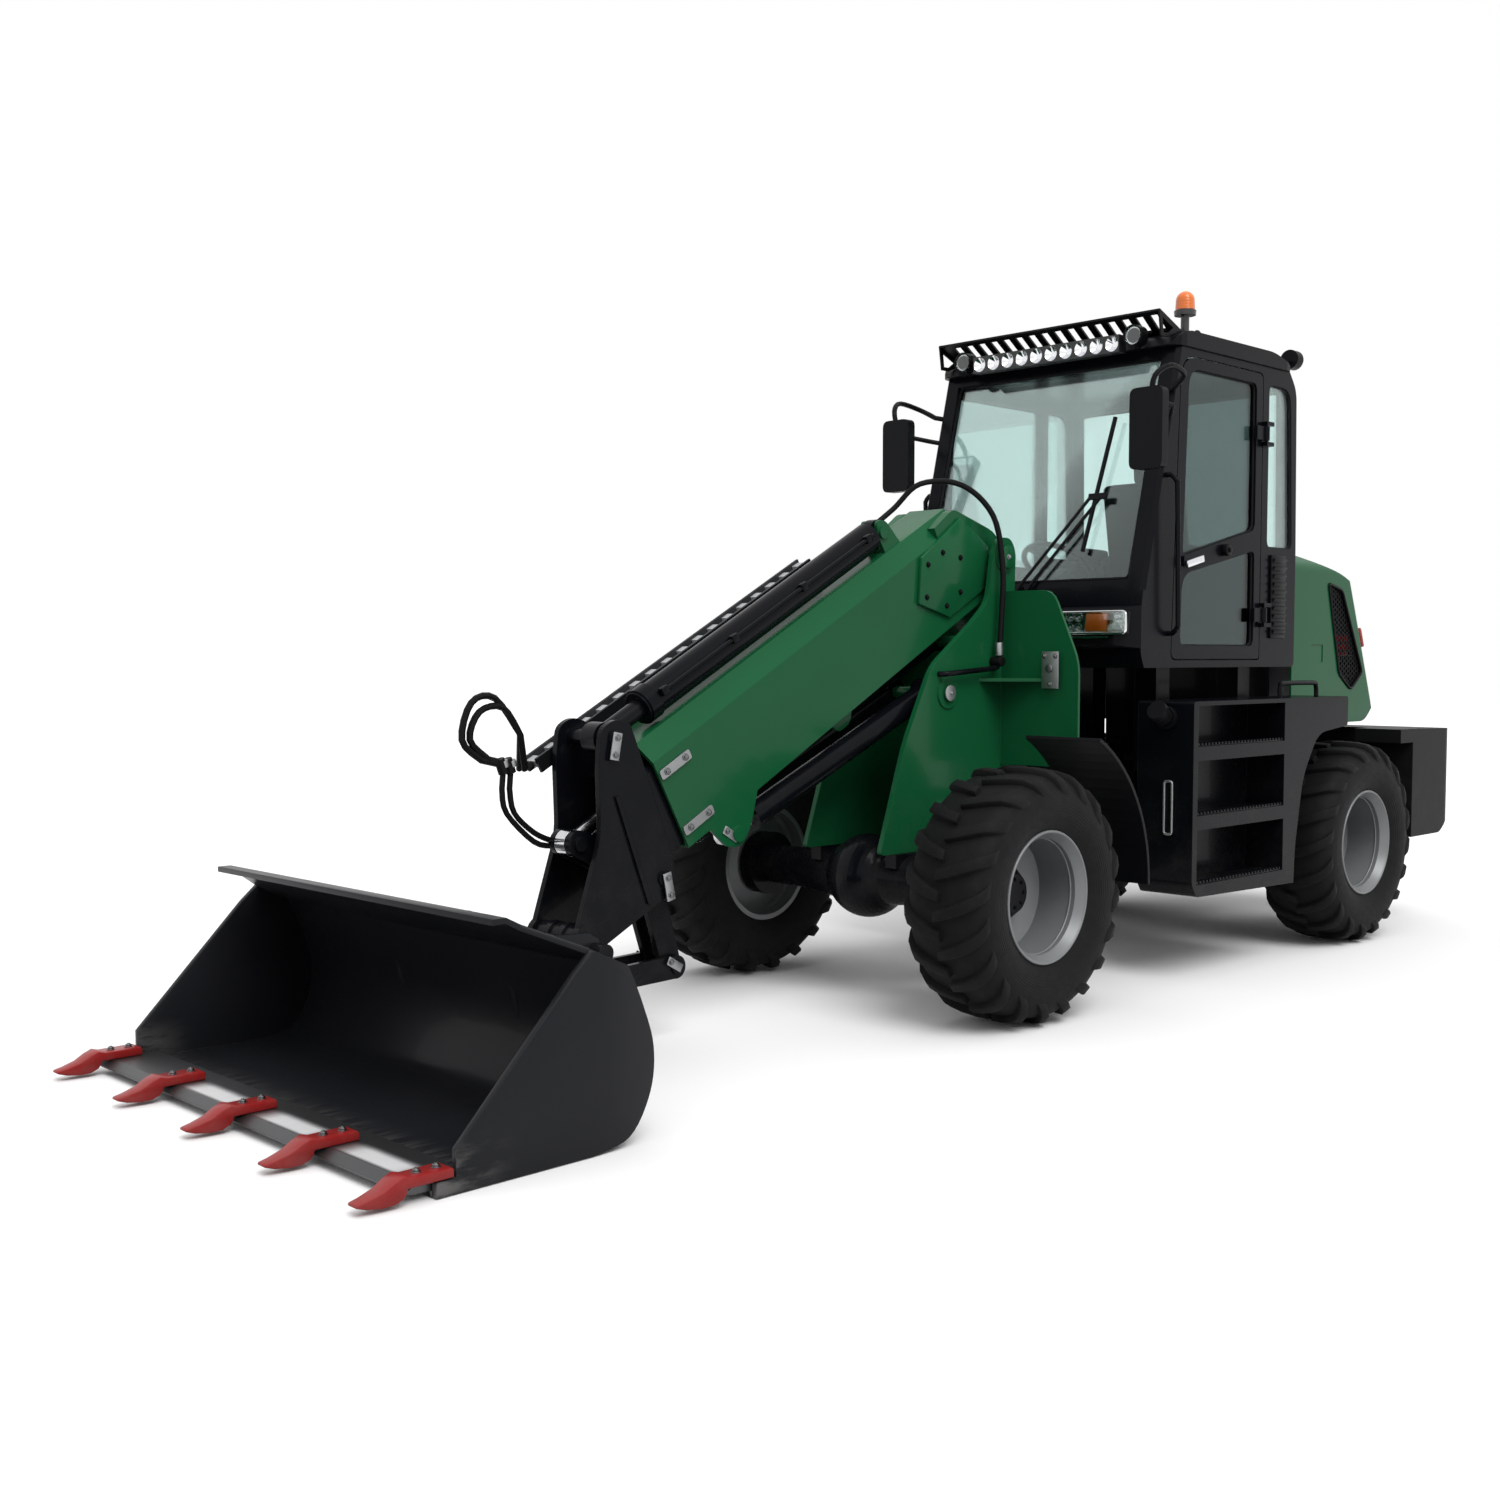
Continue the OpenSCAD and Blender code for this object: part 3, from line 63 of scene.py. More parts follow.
low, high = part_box("tyre_fl")
axle_x, axle_z = (low.x + high.x) / 2, (low.z + high.z) / 2
print("nodes", len(frame["nodes"]), "front axle at x", round(axle_x, 4))


# %% [markdown]
# ## Places
# All places are measured from the front axle, as on a workshop drawing, so one helper adds the
# axle's own place. A second one measures along the parked boom, which falls 28.5 degrees: s runs
# along it from its pivot, h stands square to it. Numbers then stay the same wherever the model is put.

# %% Places from the axle and along the boom
DIP = math.radians(28.5)
PIVOT = (-0.669, 1.947)
WHEELBASE = 2.82
SIDES = ((1, "left"), (-1, "right"))


def at(x, y, z):
    return Vector((x + axle_x, y, z))


def on_boom(s, h, y):
    return at(PIVOT[0] + s * math.cos(DIP) + h * math.sin(DIP), y,
              PIVOT[1] - s * math.sin(DIP) + h * math.cos(DIP))


head_pin = on_boom(2.330, 0.404, 0)
coupler_pin = head_pin + Vector((0.139, 0, -0.734))
print("head pin", [round(v, 3) for v in head_pin], "coupler pin", [round(v, 3) for v in coupler_pin])


# %% [markdown]
# ## Camera
# The camera stands ahead of the left front wheel, at eye height, and looks slightly down. Its place
# and lens were fitted to the wheels and the bucket's edge, because round and straight things
# show a wrong lens soonest.

# %% Camera
camera_data = bpy.data.cameras.new("camera")
camera_data.lens = 39.51
camera_data.sensor_width = 36
camera = bpy.data.objects.new("camera", camera_data)
camera.location = at(5.4596, 4.8129, 1.4947)
camera.rotation_euler = (math.radians(90 - 3.264), 0, math.radians(225.557 - 90))
scene.collection.objects.link(camera)
scene.camera = camera
print("camera at", [round(v, 3) for v in camera.location])


# %% [markdown]
# ## Shader expressions
# A finish is a small sum: dust times a mask, colour one mixed with colour two. Wrapping a socket in
# a class with Python's operators lets such a sum be written as it is read, and each operator
# adds one Math node. Every other node comes from a single method.

# %% A socket that does sums
class Shade:
    def __init__(self, tree, socket=None):
        self.tree = tree
        self.socket = socket

    def node(self, kind, sockets=None, out=0, **settings):
        made = self.tree.nodes.new("ShaderNode" + kind)
        for key, value in settings.items():
            setattr(made, key, value)
        for key, value in (sockets or {}).items():
            if isinstance(value, Shade):
                self.tree.links.new(value.socket, made.inputs[key])
            else:
                made.inputs[key].default_value = value
        return Shade(self.tree, made.outputs[out])

    def sum(self, operation, first, second):
        return self.node("Math", {0: first, 1: second}, operation=operation)

    def __add__(self, other):
        return self.sum("ADD", self, other)

    def __radd__(self, other):
        return self.sum("ADD", other, self)

    def __sub__(self, other):
        return self.sum("SUBTRACT", self, other)

    def __rsub__(self, other):
        return self.sum("SUBTRACT", other, self)

    def __mul__(self, other):
        return self.sum("MULTIPLY", self, other)

    def __rmul__(self, other):
        return self.sum("MULTIPLY", other, self)

    def rule(self, operation):
        return self.node("Math", {0: self}, operation=operation)

    def step(self, start, end):
        return self.node("MapRange", {0: self, 1: start, 2: end, 3: 0.0, 4: 1.0},
                         interpolation_type="SMOOTHSTEP")

    def mixed(self, first, second):
        first, second = [(*c, 1) if isinstance(c, tuple) else c for c in (first, second)]
        return self.node("Mix", {0: self, 6: first, 7: second}, out=2, data_type="RGBA")


# %% A finish and its usual helpers
class Finish:
    def __init__(self, name, centre=(0, 0, 0)):
        self.material = bpy.data.materials.new(name)
        self.material.use_nodes = True
        self.tree = self.material.node_tree
        self.surface = self.tree.nodes["Principled BSDF"]
        self.sheet = Shade(self.tree)
        place = self.sheet.node("TexCoord", out=3)
        self.place = self.sheet.node("Mapping", {"Vector": place, "Location": [-c for c in centre]})
        parts = self.sheet.node("SeparateXYZ", {0: self.place})
        outputs = parts.socket.node.outputs
        self.x, self.y, self.z = [Shade(self.tree, outputs[i]) for i in range(3)]

    def noise(self, scale, detail=4.0, rough=0.55, place=None):
        return self.sheet.node("TexNoise", {"Vector": place or self.place, "Scale": scale, "Detail": detail,
                                            "Roughness": rough})

    def feed(self, **values):
        for key, value in values.items():
            socket = self.surface.inputs[key.replace("_", " ")]
            if isinstance(value, Shade):
                self.tree.links.new(value.socket, socket)
            else:
                socket.default_value = (*value, 1) if isinstance(value, tuple) else value
        return self

    def relief(self, height, strength, distance=0.001, edge=0.0):
        sockets = {"Height": height, "Strength": strength, "Distance": distance}
        if edge:
            sockets["Normal"] = self.sheet.node("Bevel", {"Radius": edge}, samples=4)
        return self.feed(Normal=self.sheet.node("Bump", sockets))


# %% [markdown]
# ## Paint
# The frame, boom and hood wear a gloss enamel, and the cab, cylinders and bucket a satin black. Real enamel is
# never one flat colour: it drifts a little from panel to panel, has a faint orange-peel ripple, and
# gathers dust low down. A Bevel node rounds the sharp edges of the solids for the light only.

# %% Paint and cast finishes
DUST = (0.23, 0.215, 0.19)


def paint(name, colour, rough, coat, dust=0.25, peel=0.06, edge=0.004, shine=0.16):
    f = Finish(name)
    drift = f.noise(1.7, 3)
    cloud = f.noise(9.0, 6, 0.65)
    grime = (1 - f.z.step(0.15, 1.35)) * cloud.step(0.38, 0.72) * dust
    tone = drift.mixed(tuple(c * 0.9 for c in colour), tuple(min(1, c * 1.1) for c in colour))
    f.feed(Base_Color=grime.mixed(tone, DUST), Roughness=rough + 0.05 * f.noise(40, 3) + 0.5 * grime,
           Coat_Weight=coat, Coat_Roughness=0.06, Specular_IOR_Level=shine)
    return f.relief(f.noise(420, 2), peel, edge=edge)


green = paint("green_enamel", (0.007, 0.102, 0.036), 0.18, 0.08, dust=0.06, shine=0.12)
black = paint("black_enamel", (0.0036, 0.0042, 0.006), 0.24, 0.05, dust=0.04, shine=0.07)
cast = paint("cast_counterweight", (0.011, 0.0115, 0.012), 0.42, 0.0, dust=0.06, peel=0.35, shine=0.07)
red = paint("red_enamel", (0.29, 0.016, 0.016), 0.3, 0.1, dust=0.12, shine=0.2)
engine = paint("engine_grey", (0.16, 0.16, 0.17), 0.5, 0.0, dust=0.4, peel=0.3)
print("paints:", [m.name for m in bpy.data.materials if "enamel" in m.name])


# %% [markdown]
# ## Bucket
# A bucket is painted like the arm, but its floor and lip are scoured by what it carries.
# The mask grows towards the cutting edge and is broken by stretched noise, so bare steel shows in streaks.

# %% Bucket finish
def scoured(name):
    f = Finish(name, coupler_pin)
    streaks = f.noise(1.0, 5, 0.6, f.sheet.node("Mapping", {"Vector": f.place, "Scale": (5, 60, 20)}))
    near = f.x.step(0.95, 1.32) * (1 - f.z.step(-0.40, -0.28))
    bare = (near * streaks.step(0.40, 0.62)) * 0.75
    drift = f.noise(2.5, 4)
    tone = drift.mixed((0.009, 0.0098, 0.012), (0.013, 0.0138, 0.0162))
    f.feed(Base_Color=bare.mixed(tone, (0.2, 0.195, 0.19)), Metallic=bare * 0.6,
           Roughness=0.3 + 0.1 * f.noise(30, 3), Coat_Weight=0.06, Coat_Roughness=0.1, Specular_IOR_Level=0.12)
    return f.relief(f.noise(380, 2), 0.08, edge=0.004)


bucket_black = scoured("bucket_black")
print("bucket finish:", bucket_black.material.name)


# %% [markdown]
# ## Bare metal
# Rods are hard chrome and mirror the floor and sky, and pin plates are zinc plated, with a soft grey
# spangle. Each is one noise that shifts tone and roughness together, because real plating is dull
# where it is darker.

# %% Metal finishes
def metal(name, colour, rough, grain):
    f = Finish(name)
    brushed = f.noise(grain, 4, 0.6)
    tone = brushed.mixed(tuple(c * 0.82 for c in colour), colour)
    f.feed(Base_Color=tone, Metallic=1.0, Roughness=rough + 0.16 * brushed)
    return f.relief(brushed, 0.08, edge=0.002)


chrome = metal("hard_chrome", (0.72, 0.73, 0.75), 0.06, 60)
zinc = metal("zinc_plate", (0.36, 0.37, 0.375), 0.36, 90)
bolt_steel = metal("bolt_steel", (0.2, 0.2, 0.205), 0.3, 120)
mirror = metal("lamp_chrome", (0.82, 0.83, 0.85), 0.05, 30)
print("metals:", [f.material.name for f in (chrome, zinc, bolt_steel, mirror)])


# %% [markdown]
# ## Metal that changes along its length
# The cutting edge is rolled steel, worn bare between the teeth; there it is painted near white and hardly metallic,
# which is partly a painted highlight. The extension rod ends in a black eye, and the hose ladder has grey rungs
# between black rails. Each is one solid, so a mask made from the place on it decides which finish shows, and no seam
# has to be cut.

# %% Cutting edge
EDGE_WIDTH, TOOTH_HALF, TEETH = 2.06, 0.04, 5
first_tooth = EDGE_WIDTH / 2 - TOOTH_HALF
tooth_pitch = 2 * first_tooth / (TEETH - 1)


def worn_edge_with_painted_glint():
    f = Finish("edge_steel", coupler_pin)
    grain = f.noise(14, 4, 0.6, f.sheet.node("Mapping", {"Vector": f.place, "Scale": (1, 30, 8)}))
    between = f.sheet.sum("FLOORED_MODULO", f.y + first_tooth, tooth_pitch) - tooth_pitch / 2
    away = 1 - between.rule("ABSOLUTE").step(0.09, 0.225)
    across = f.x.step(1.180, 1.225) * (1 - f.x.step(1.268, 1.294))
    # Worn bare steel between the teeth, painted near white and hardly metallic: partly wear, partly a painted
    # highlight.
    bright = away * across * f.y.step(-0.52, -0.48) * (0.80 + 0.4 * grain)
    f.feed(Base_Color=bright.mixed((0.10, 0.102, 0.105), (0.80, 0.80, 0.81)), Metallic=0.9 - 0.7 * bright,
           Roughness=0.32 + 0.16 * grain)
    return f.relief(grain, 0.08, edge=0.002)


steel = worn_edge_with_painted_glint()
print("teeth every", round(tooth_pitch, 3), "m")


# %% Rod and hose ladder
def rod_with_eye():
    f = Finish("extension_rod", (axle_x + PIVOT[0], 0, PIVOT[1]))
    along = f.x * math.cos(DIP) - f.z * math.sin(DIP)
    eye = along.step(2.095, 2.10)
    f.feed(Base_Color=eye.mixed((0.72, 0.73, 0.75), (0.004, 0.0045, 0.006)), Metallic=1 - eye,
           Roughness=0.08 + 0.2 * eye, Specular_IOR_Level=0.12)
    return f.relief(f.noise(300, 2), 0.05, edge=0.003)


def ladder():
    f = Finish("hose_ladder", (0, -0.203, 0))
    rung = 1 - f.y.rule("ABSOLUTE").step(0.0300, 0.0312)
    f.feed(Base_Color=rung.mixed((0.006, 0.0065, 0.008), (0.42, 0.43, 0.44)),
           Roughness=0.35 + 0.1 * f.noise(60, 3), Specular_IOR_Level=0.2)
    return f.relief(f.noise(400, 2), 0.06, edge=0.002)


rod_end, rungs = rod_with_eye(), ladder()
print("finishes by place:", steel.material.name, rod_end.material.name, rungs.material.name)


# %% [markdown]
# ## Rubber, plastic and vinyl
# Tyres are near-black with a dusty bloom in patches and moulded rings in the side wall. The rings follow the
# wheel, so the finish is centred on each axle and reads the distance from it. Rims get the
# same treatment: silver paint outside, black hub inside one radius.

# %% Tyres and rims
def radius_of(f):
    return (f.x * f.x + f.z * f.z).rule("SQRT")


def tyre(name, x):
    f = Finish(name, (x, 0, axle_z))
    r = radius_of(f)
    side = f.y.rule("ABSOLUTE").step(0.93, 0.985)
    rings = (r * 520.0).rule("SINE")
    bands = r.step(0.30, 0.32) * (1 - r.step(0.385, 0.40)) * side
    bloom = f.noise(7, 6, 0.65).step(0.4, 0.75) * 0.35
    f.feed(Base_Color=bloom.mixed((0.0052, 0.0054, 0.006), (0.016, 0.0155, 0.015)),
           Roughness=0.6 + 0.2 * f.noise(30, 3), Specular_IOR_Level=0.16)
    return f.relief(rings * bands + 0.5 * f.noise(160, 3), 0.28, 0.002, edge=0.004)


def rim(name, x):
    f = Finish(name, (x, 0, axle_z))
    r = radius_of(f)
    hub = 1 - r.step(0.1185, 0.1205)
    cloud = f.noise(6, 5, 0.6)
    tone = cloud.mixed((0.20, 0.21, 0.215), (0.27, 0.275, 0.28))
    f.feed(Base_Color=hub.mixed(tone, (0.004, 0.0045, 0.0055)), Metallic=(1 - hub) * 0.35,
           Roughness=0.34 + 0.12 * cloud, Specular_IOR_Level=0.12)
    return f.relief(f.noise(300, 2), 0.06, edge=0.003)


tyres = {"f": tyre("tyre_rubber_front", axle_x), "r": tyre("tyre_rubber_rear", axle_x - WHEELBASE)}
rims = {"f": rim("rim_silver_front", axle_x), "r": rim("rim_silver_rear", axle_x - WHEELBASE)}
print("wheel finishes:", len(tyres) + len(rims))


# %% Plastic, hose and vinyl
def moulded(name, colour, rough, grain, strength, edge=0.004, sheen=0.1):
    f = Finish(name)
    cloud = f.noise(5, 4)
    f.feed(Base_Color=cloud.mixed(tuple(c * 0.85 for c in colour), tuple(c * 1.15 for c in colour)),
           Roughness=rough + 0.1 * cloud, Specular_IOR_Level=sheen)
    return f.relief(f.noise(grain, 3), strength, edge=edge)


plastic = moulded("black_plastic", (0.0052, 0.0056, 0.0068), 0.36, 700, 0.12)
hose = moulded("hose_rubber", (0.006, 0.006, 0.0066), 0.45, 900, 0.2, edge=0)
vinyl = moulded("seat_vinyl", (0.012, 0.0125, 0.0135), 0.5, 450, 0.4, edge=0)
seal = moulded("window_rubber", (0.010, 0.010, 0.011), 0.6, 500, 0.1, edge=0)
print("moulded finishes:", [f.material.name for f in (plastic, hose, vinyl, seal)])


# %% [markdown]
# ## Glass and lenses
# The panes are lightly green; the door pane is tinted much darker, as painted shade for the dim cab inside seen
# through it. A pane that lets light through to the seat is a mix: clear where one looks straight through, and a
# mirror of the sky where one looks along it. A Layer Weight gives that blend.

# %% Glass and lens finishes
def pane(name, tint, gloss, least):
    f = Finish(name)
    f.surface.inputs["Base Color"].default_value = (*tint, 1)
    facing = f.sheet.node("LayerWeight", {"Blend": 0.35}, out=0)
    clear = f.sheet.node("BsdfTransparent", {"Color": (*tint, 1)})
    shine = f.sheet.node("BsdfGlossy", {"Color": (0.95, 0.98, 0.97, 1), "Roughness": gloss})
    both = f.sheet.node("MixShader", {0: least + 0.6 * facing, 1: clear, 2: shine})
    f.tree.links.new(both.socket, f.tree.nodes["Material Output"].inputs["Surface"])
    return f


def lens(name, colour, ribs):
    f = Finish(name)
    stripes, cross = (f.y * ribs).rule("SINE"), (f.z * ribs).rule("SINE")
    f.feed(Base_Color=f.noise(30, 2).mixed(tuple(c * 0.9 for c in colour), colour), Roughness=0.12,
           Coat_Weight=0.6, Coat_Roughness=0.04, Transmission_Weight=0.35)
    return f.relief(stripes * cross, 0.3, 0.0015)


glass = pane("tinted_glass", (0.87, 0.945, 0.935), 0.015, 0.0)
# The door pane's much darker tint is painted shade for the dim cab inside seen through it.
shaded = pane("door_glass_painted_shade", (0.31, 0.375, 0.37), 0.015, 0.0)
clear = pane("lens_clear", (0.93, 0.95, 0.95), 0.02, 0.08)
amber = lens("amber_lens", (0.85, 0.20, 0.012), 700)
red_glass = lens("red_lens", (0.5, 0.02, 0.015), 500)
print("panes and lenses:", [f.material.name for f in (glass, shaded, clear, amber, red_glass)])


# %% [markdown]
# ## Two finishes on one solid
# The light bar is one solid, but its cups are mirrors in a black housing, and the beacon's dome stands
# on a black socket. A mask from the place on the solid picks the finish, so no extra piece is needed.

# %% Light bar and beacon
bar_low, bar_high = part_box("light_bar")
beacon_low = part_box("beacon")[0]
CUPS = 10
cup_pitch = (bar_high.y - bar_low.y - 0.08) / (CUPS - 1)


def light_bar():
    f = Finish("light_bar_cups", (0, bar_low.y + 0.04 - cup_pitch / 2, (bar_low.z + bar_high.z) / 2))
    along = f.sheet.sum("FLOORED_MODULO", f.y, cup_pitch) - cup_pitch / 2
    off = (along * along + f.z * f.z).rule("SQRT")
    cup = 1 - off.step(0.0345, 0.036)
    f.feed(Base_Color=cup.mixed((0.014, 0.0145, 0.016), (0.85, 0.86, 0.88)), Metallic=cup,
           Roughness=0.4 - 0.34 * cup)
    return f.relief(f.noise(600, 2), 0.05)


def beacon():
    f = Finish("beacon_amber", (0, 0, beacon_low.z + 0.117))
    dome = f.z.step(-0.001, 0.001)
    ribs = (f.z * 900.0).rule("SINE")
    f.feed(Base_Color=dome.mixed((0.014, 0.0145, 0.016), (0.9, 0.19, 0.01)), Roughness=0.4 - 0.25 * dome,
           Coat_Weight=0.5, Coat_Roughness=0.05)
    return f.relief(ribs * dome, 0.25, 0.0015)


cups, dome = light_bar(), beacon()
print("light bar:", CUPS, "cups, one every", round(cup_pitch, 3), "m")


# %% [markdown]
# ## Finishes onto the solids
# The record names a slot for each solid. The table below gives each slot a finish, and a few solids
# take one of their own.

# %% Dress the solids
BY_SLOT = {"green_paint": green, "black_paint": black, "dark_grey_cast": cast, "silver_paint": rims["f"],
           "tyre_rubber": tyres["f"], "tinted_glass": glass, "black_plastic": plastic, "chrome_rod": chrome,
           "zinc_plate": zinc, "edge_steel": steel, "red_paint": red, "seat_vinyl": vinyl,
           "lamp_chrome": mirror, "amber_lens": amber, "red_lens": red_glass, "engine_grey": engine,
           "hose_rubber": hose}
BY_NODE = {"bucket": bucket_black, "light_bar": cups, "beacon": dome, "door_glass": shaded,
           "extension_rod": rod_end, "hose_carrier": rungs}
for wheel in ("fl", "fr", "rl", "rr"):
    BY_NODE["tyre_" + wheel] = tyres[wheel[0]]
    BY_NODE["rim_" + wheel] = rims[wheel[0]]
for part in frame["record"]["subparts"]:
    solid = frame["nodes"][part["node"]]
    finish = BY_NODE.get(part["node"]) or BY_SLOT[part["material_slot"]]
    if not solid.material_slots:
        solid.data.materials.append(finish.material)
    for slot in solid.material_slots:
        slot.material = finish.material


# %% [markdown]
# ## Shaping helpers
# Each new piece starts as a primitive at its size, then its edges are broken with a Bevel modifier, as with
# a file at the bench. Last, its place goes into its mesh and it is handed to the body it rides on. A modifier
# is chosen over bevelling by hand because its angle limit finds the sharp edges by itself.

# %% Start, soften and hand over
def deselect():
    bpy.ops.object.select_all(action="DESELECT")


def soften(piece, width, segments=2):
    bevel = piece.modifiers.new("edges", "BEVEL")
    bevel.width = width
    bevel.segments = segments
    bevel.limit_method = "ANGLE"
    bevel.angle_limit = math.radians(40)
    bpy.ops.object.modifier_apply(modifier="edges")
    return piece


def finished(piece, name, finish, smooth):
    deselect()
    piece.select_set(True)
    bpy.context.view_layer.objects.active = piece
    bpy.ops.object.transform_apply(location=True, rotation=True, scale=True)
    bpy.ops.object.shade_smooth_by_angle(angle=math.radians(smooth))
    piece.name = name
    piece.data.materials.clear()
    piece.data.materials.append(finish.material)
    return piece


def hand_over(piece, name, finish, body, smooth=35):
    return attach(finished(piece, name, finish, smooth), body)


def block(size, place, edge=0.002, turn=(0, 0, 0)):
    deselect()
    bpy.ops.mesh.primitive_cube_add(size=1, location=place, rotation=turn)
    piece = bpy.context.object
    piece.scale = size
    bpy.ops.object.transform_apply(location=False, rotation=False, scale=True)
    return soften(piece, edge)


def facing(direction):
    return Vector(direction).to_track_quat("Z", "Y").to_euler()


def drum(radius, depth, place, direction, edge=0.002, sides=32):
    deselect()
    bpy.ops.mesh.primitive_cylinder_add(vertices=sides, radius=radius, depth=depth, location=place,
                                        rotation=facing(direction))
    return soften(bpy.context.object, edge)


def joined(pieces):
    deselect()
    for piece in pieces:
        piece.select_set(True)
    bpy.context.view_layer.objects.active = pieces[0]
    if len(pieces) > 1:
        bpy.ops.object.join()
    return bpy.context.object


# %% Copies that have their own mesh
def twin(piece):
    copy = piece.copy()
    copy.data = piece.data.copy()
    scene.collection.objects.link(copy)
    return copy


def spread(pattern, places):
    copies = []
    for place, direction, size in places:
        copy = twin(pattern)
        copy.matrix_world = Matrix.LocRotScale(place, facing(direction), Vector((size, size, size)))
        copies.append(copy)
    bpy.data.objects.remove(pattern)
    return joined(copies)


def repeat(piece, count, offset, merge=0.0):
    row = piece.modifiers.new("row", "ARRAY")
    row.use_relative_offset = False
    row.use_constant_offset = True
    row.count = count
    row.constant_offset_displace = offset
    row.use_merge_vertices = merge > 0
    row.merge_threshold = merge
    bpy.ops.object.modifier_apply(modifier="row")


def ring_of(x, y, z, radius, count):
    turns = [math.tau * i / count for i in range(count)]
    return [at(x + radius * math.cos(a), y, z + radius * math.sin(a)) for a in turns]


# %% Pick faces by a rule
def pick_faces(piece, rule):
    bpy.ops.object.mode_set(mode="EDIT")
    bpy.ops.mesh.select_mode(type="FACE")
    bpy.ops.mesh.select_all(action="DESELECT")
    bpy.ops.object.mode_set(mode="OBJECT")
    for face in piece.data.polygons:
        face.select = rule(face)


# %% A plate cut from sheet
def cut_plate(outline, y_in, y_out, edge=0.004, taper=None):
    deselect()
    bpy.ops.mesh.primitive_circle_add(vertices=len(outline), radius=1, fill_type="NGON", location=(0, 0, 0))
    piece = bpy.context.object
    for vertex, spot in zip(piece.data.vertices, outline):
        vertex.co = spot + Vector((0, y_in, 0))
    bpy.ops.object.mode_set(mode="EDIT")
    bpy.ops.mesh.select_all(action="SELECT")
    bpy.ops.mesh.extrude_region_move(TRANSFORM_OT_translate={"value": (0, y_out - y_in, 0)})
    bpy.ops.mesh.select_all(action="SELECT")
    bpy.ops.mesh.normals_make_consistent(inside=False)
    bpy.ops.object.mode_set(mode="OBJECT")
    middle = (y_in + y_out) / 2
    for vertex in piece.data.vertices if taper else []:
        vertex.co.y = middle + (vertex.co.y - middle) * taper(vertex.co)
    return soften(piece, edge)


# %% [markdown]
# ## Bolts and nuts
# A hexagon head on a washer is modelled once: a six-sided drum with its top edge bevelled, over a thin
# round one. Copies of it, each with its own mesh, go wherever the photo shows a fastener.

# %% One bolt
def new_bolt():
    washer = drum(1.15, 0.18, (0, 0, 0.09), (0, 0, 1), 0.05, 20)
    head = drum(0.88, 0.62, (0, 0, 0.47), (0, 0, 1), 0.12, 6)
    stud = drum(0.42, 0.3, (0, 0, 0.88), (0, 0, 1), 0.08, 12)
    bolt = joined([washer, head, stud])
    bpy.ops.object.transform_apply(location=True, rotation=True, scale=True)
    return bolt


# %% Wheel nuts
WHEELS = {"fl": (0, 1), "fr": (0, -1), "rl": (-WHEELBASE, 1), "rr": (-WHEELBASE, -1)}
NUTS, NUT_CIRCLE, CAPS, CAP_CIRCLE = 10, 0.134, 8, 0.058
for wheel, (x, side) in WHEELS.items():
    out = (0, side, 0)
    nuts = [(spot, out, 0.0125) for spot in ring_of(x, side * 0.7055, axle_z, NUT_CIRCLE, NUTS)]
    caps = [(spot, out, 0.0075) for spot in ring_of(x, side * 0.7955, axle_z, CAP_CIRCLE, CAPS)]
    hand_over(spread(new_bolt(), nuts), "wheel_nuts_" + wheel, zinc, "wheel_" + wheel)
    hand_over(spread(new_bolt(), caps), "hub_bolts_" + wheel, black, "wheel_" + wheel)
print("wheel nuts:", len(WHEELS) * NUTS, "hub bolts:", len(WHEELS) * CAPS)


# %% [markdown]
# ## Plates on the boom's rear end
# A six-sided plate stiffens the boom beside its pivot, and six bolts hold it. Its outline is drawn point by
# point and extruded, which is how such a plate is cut from sheet. The clips at the boom's mouth get bolts too.

# %% Rear plates and bolts of the boom
REAR_PLATE = [(0.476, 0.232), (0.586, 0.063), (0.423, -0.089), (0.107, -0.090), (0.030, 0.071), (0.147, 0.270)]
PLATE_HOLES = [(0.454, 0.188), (0.338, 0.190), (0.236, 0.115), (0.308, -0.020), (0.423, -0.030), (0.529, 0.066)]
rear_plates = [cut_plate([on_boom(s, h, 0) for s, h in REAR_PLATE], side * 0.158, side * 0.178) for side in (1, -1)]
hand_over(joined(rear_plates), "boom_rear_plates", green, "outer_boom")
plate_bolts = [(on_boom(s, h, side * 0.178), (0, side, 0), 0.0115) for side in (1, -1) for s, h in PLATE_HOLES]
clip_bolts = [(on_boom(s, h, side * 0.1695), (0, side, 0), 0.0125)
              for side in (1, -1) for h in (-0.07, 0.18) for s in (2.085, 2.190)]
hand_over(spread(new_bolt(), plate_bolts), "boom_plate_bolts", black, "outer_boom")
hand_over(spread(new_bolt(), clip_bolts), "clip_bolts", bolt_steel, "outer_boom")
print("boom bolts:", len(plate_bolts) + len(clip_bolts))


# %% [markdown]
# ## Claws on the cutting edge
# Each tooth is a forged claw: a flat foot with two bolts, a raised shoulder in front of the edge, and a point that
# bends down and narrows. Its side outline is extruded to the foot's width, then the width is tapered by
# how far forward a point lies.

# %% Claws and their bolts
EDGE_THICK = 0.028
tooth_y = [-first_tooth + i * tooth_pitch for i in range(TEETH)]
edge_low = -0.456 + 0.020 + 0.0002
edge_top = edge_low + EDGE_THICK
tooth_bolts = [(coupler_pin + Vector((x, y, edge_top + 0.030)), (0, 0, 1), 0.0125)
               for y in tooth_y for x in (1.222, 1.287)]
CLAW = [(1.186, edge_top + 0.0005), (1.186, edge_top + 0.024), (1.194, edge_top + 0.030), (1.320, edge_top + 0.030),
        (1.345, edge_top + 0.037), (1.374, edge_top + 0.026), (1.410, edge_low + 0.034), (1.455, edge_low + 0.021),
        (1.486, edge_low + 0.015), (1.489, edge_low + 0.007), (1.455, edge_low - 0.004), (1.410, edge_low - 0.010),
        (1.372, edge_low - 0.008), (1.347, edge_low + 0.004), (1.337, edge_low + 0.018), (1.335, edge_top + 0.0005)]


def narrowing(spot):
    ahead = max(0.0, min(1.0, (spot.x - coupler_pin.x - 1.335) / 0.155))
    return 1 - 0.40 * ahead


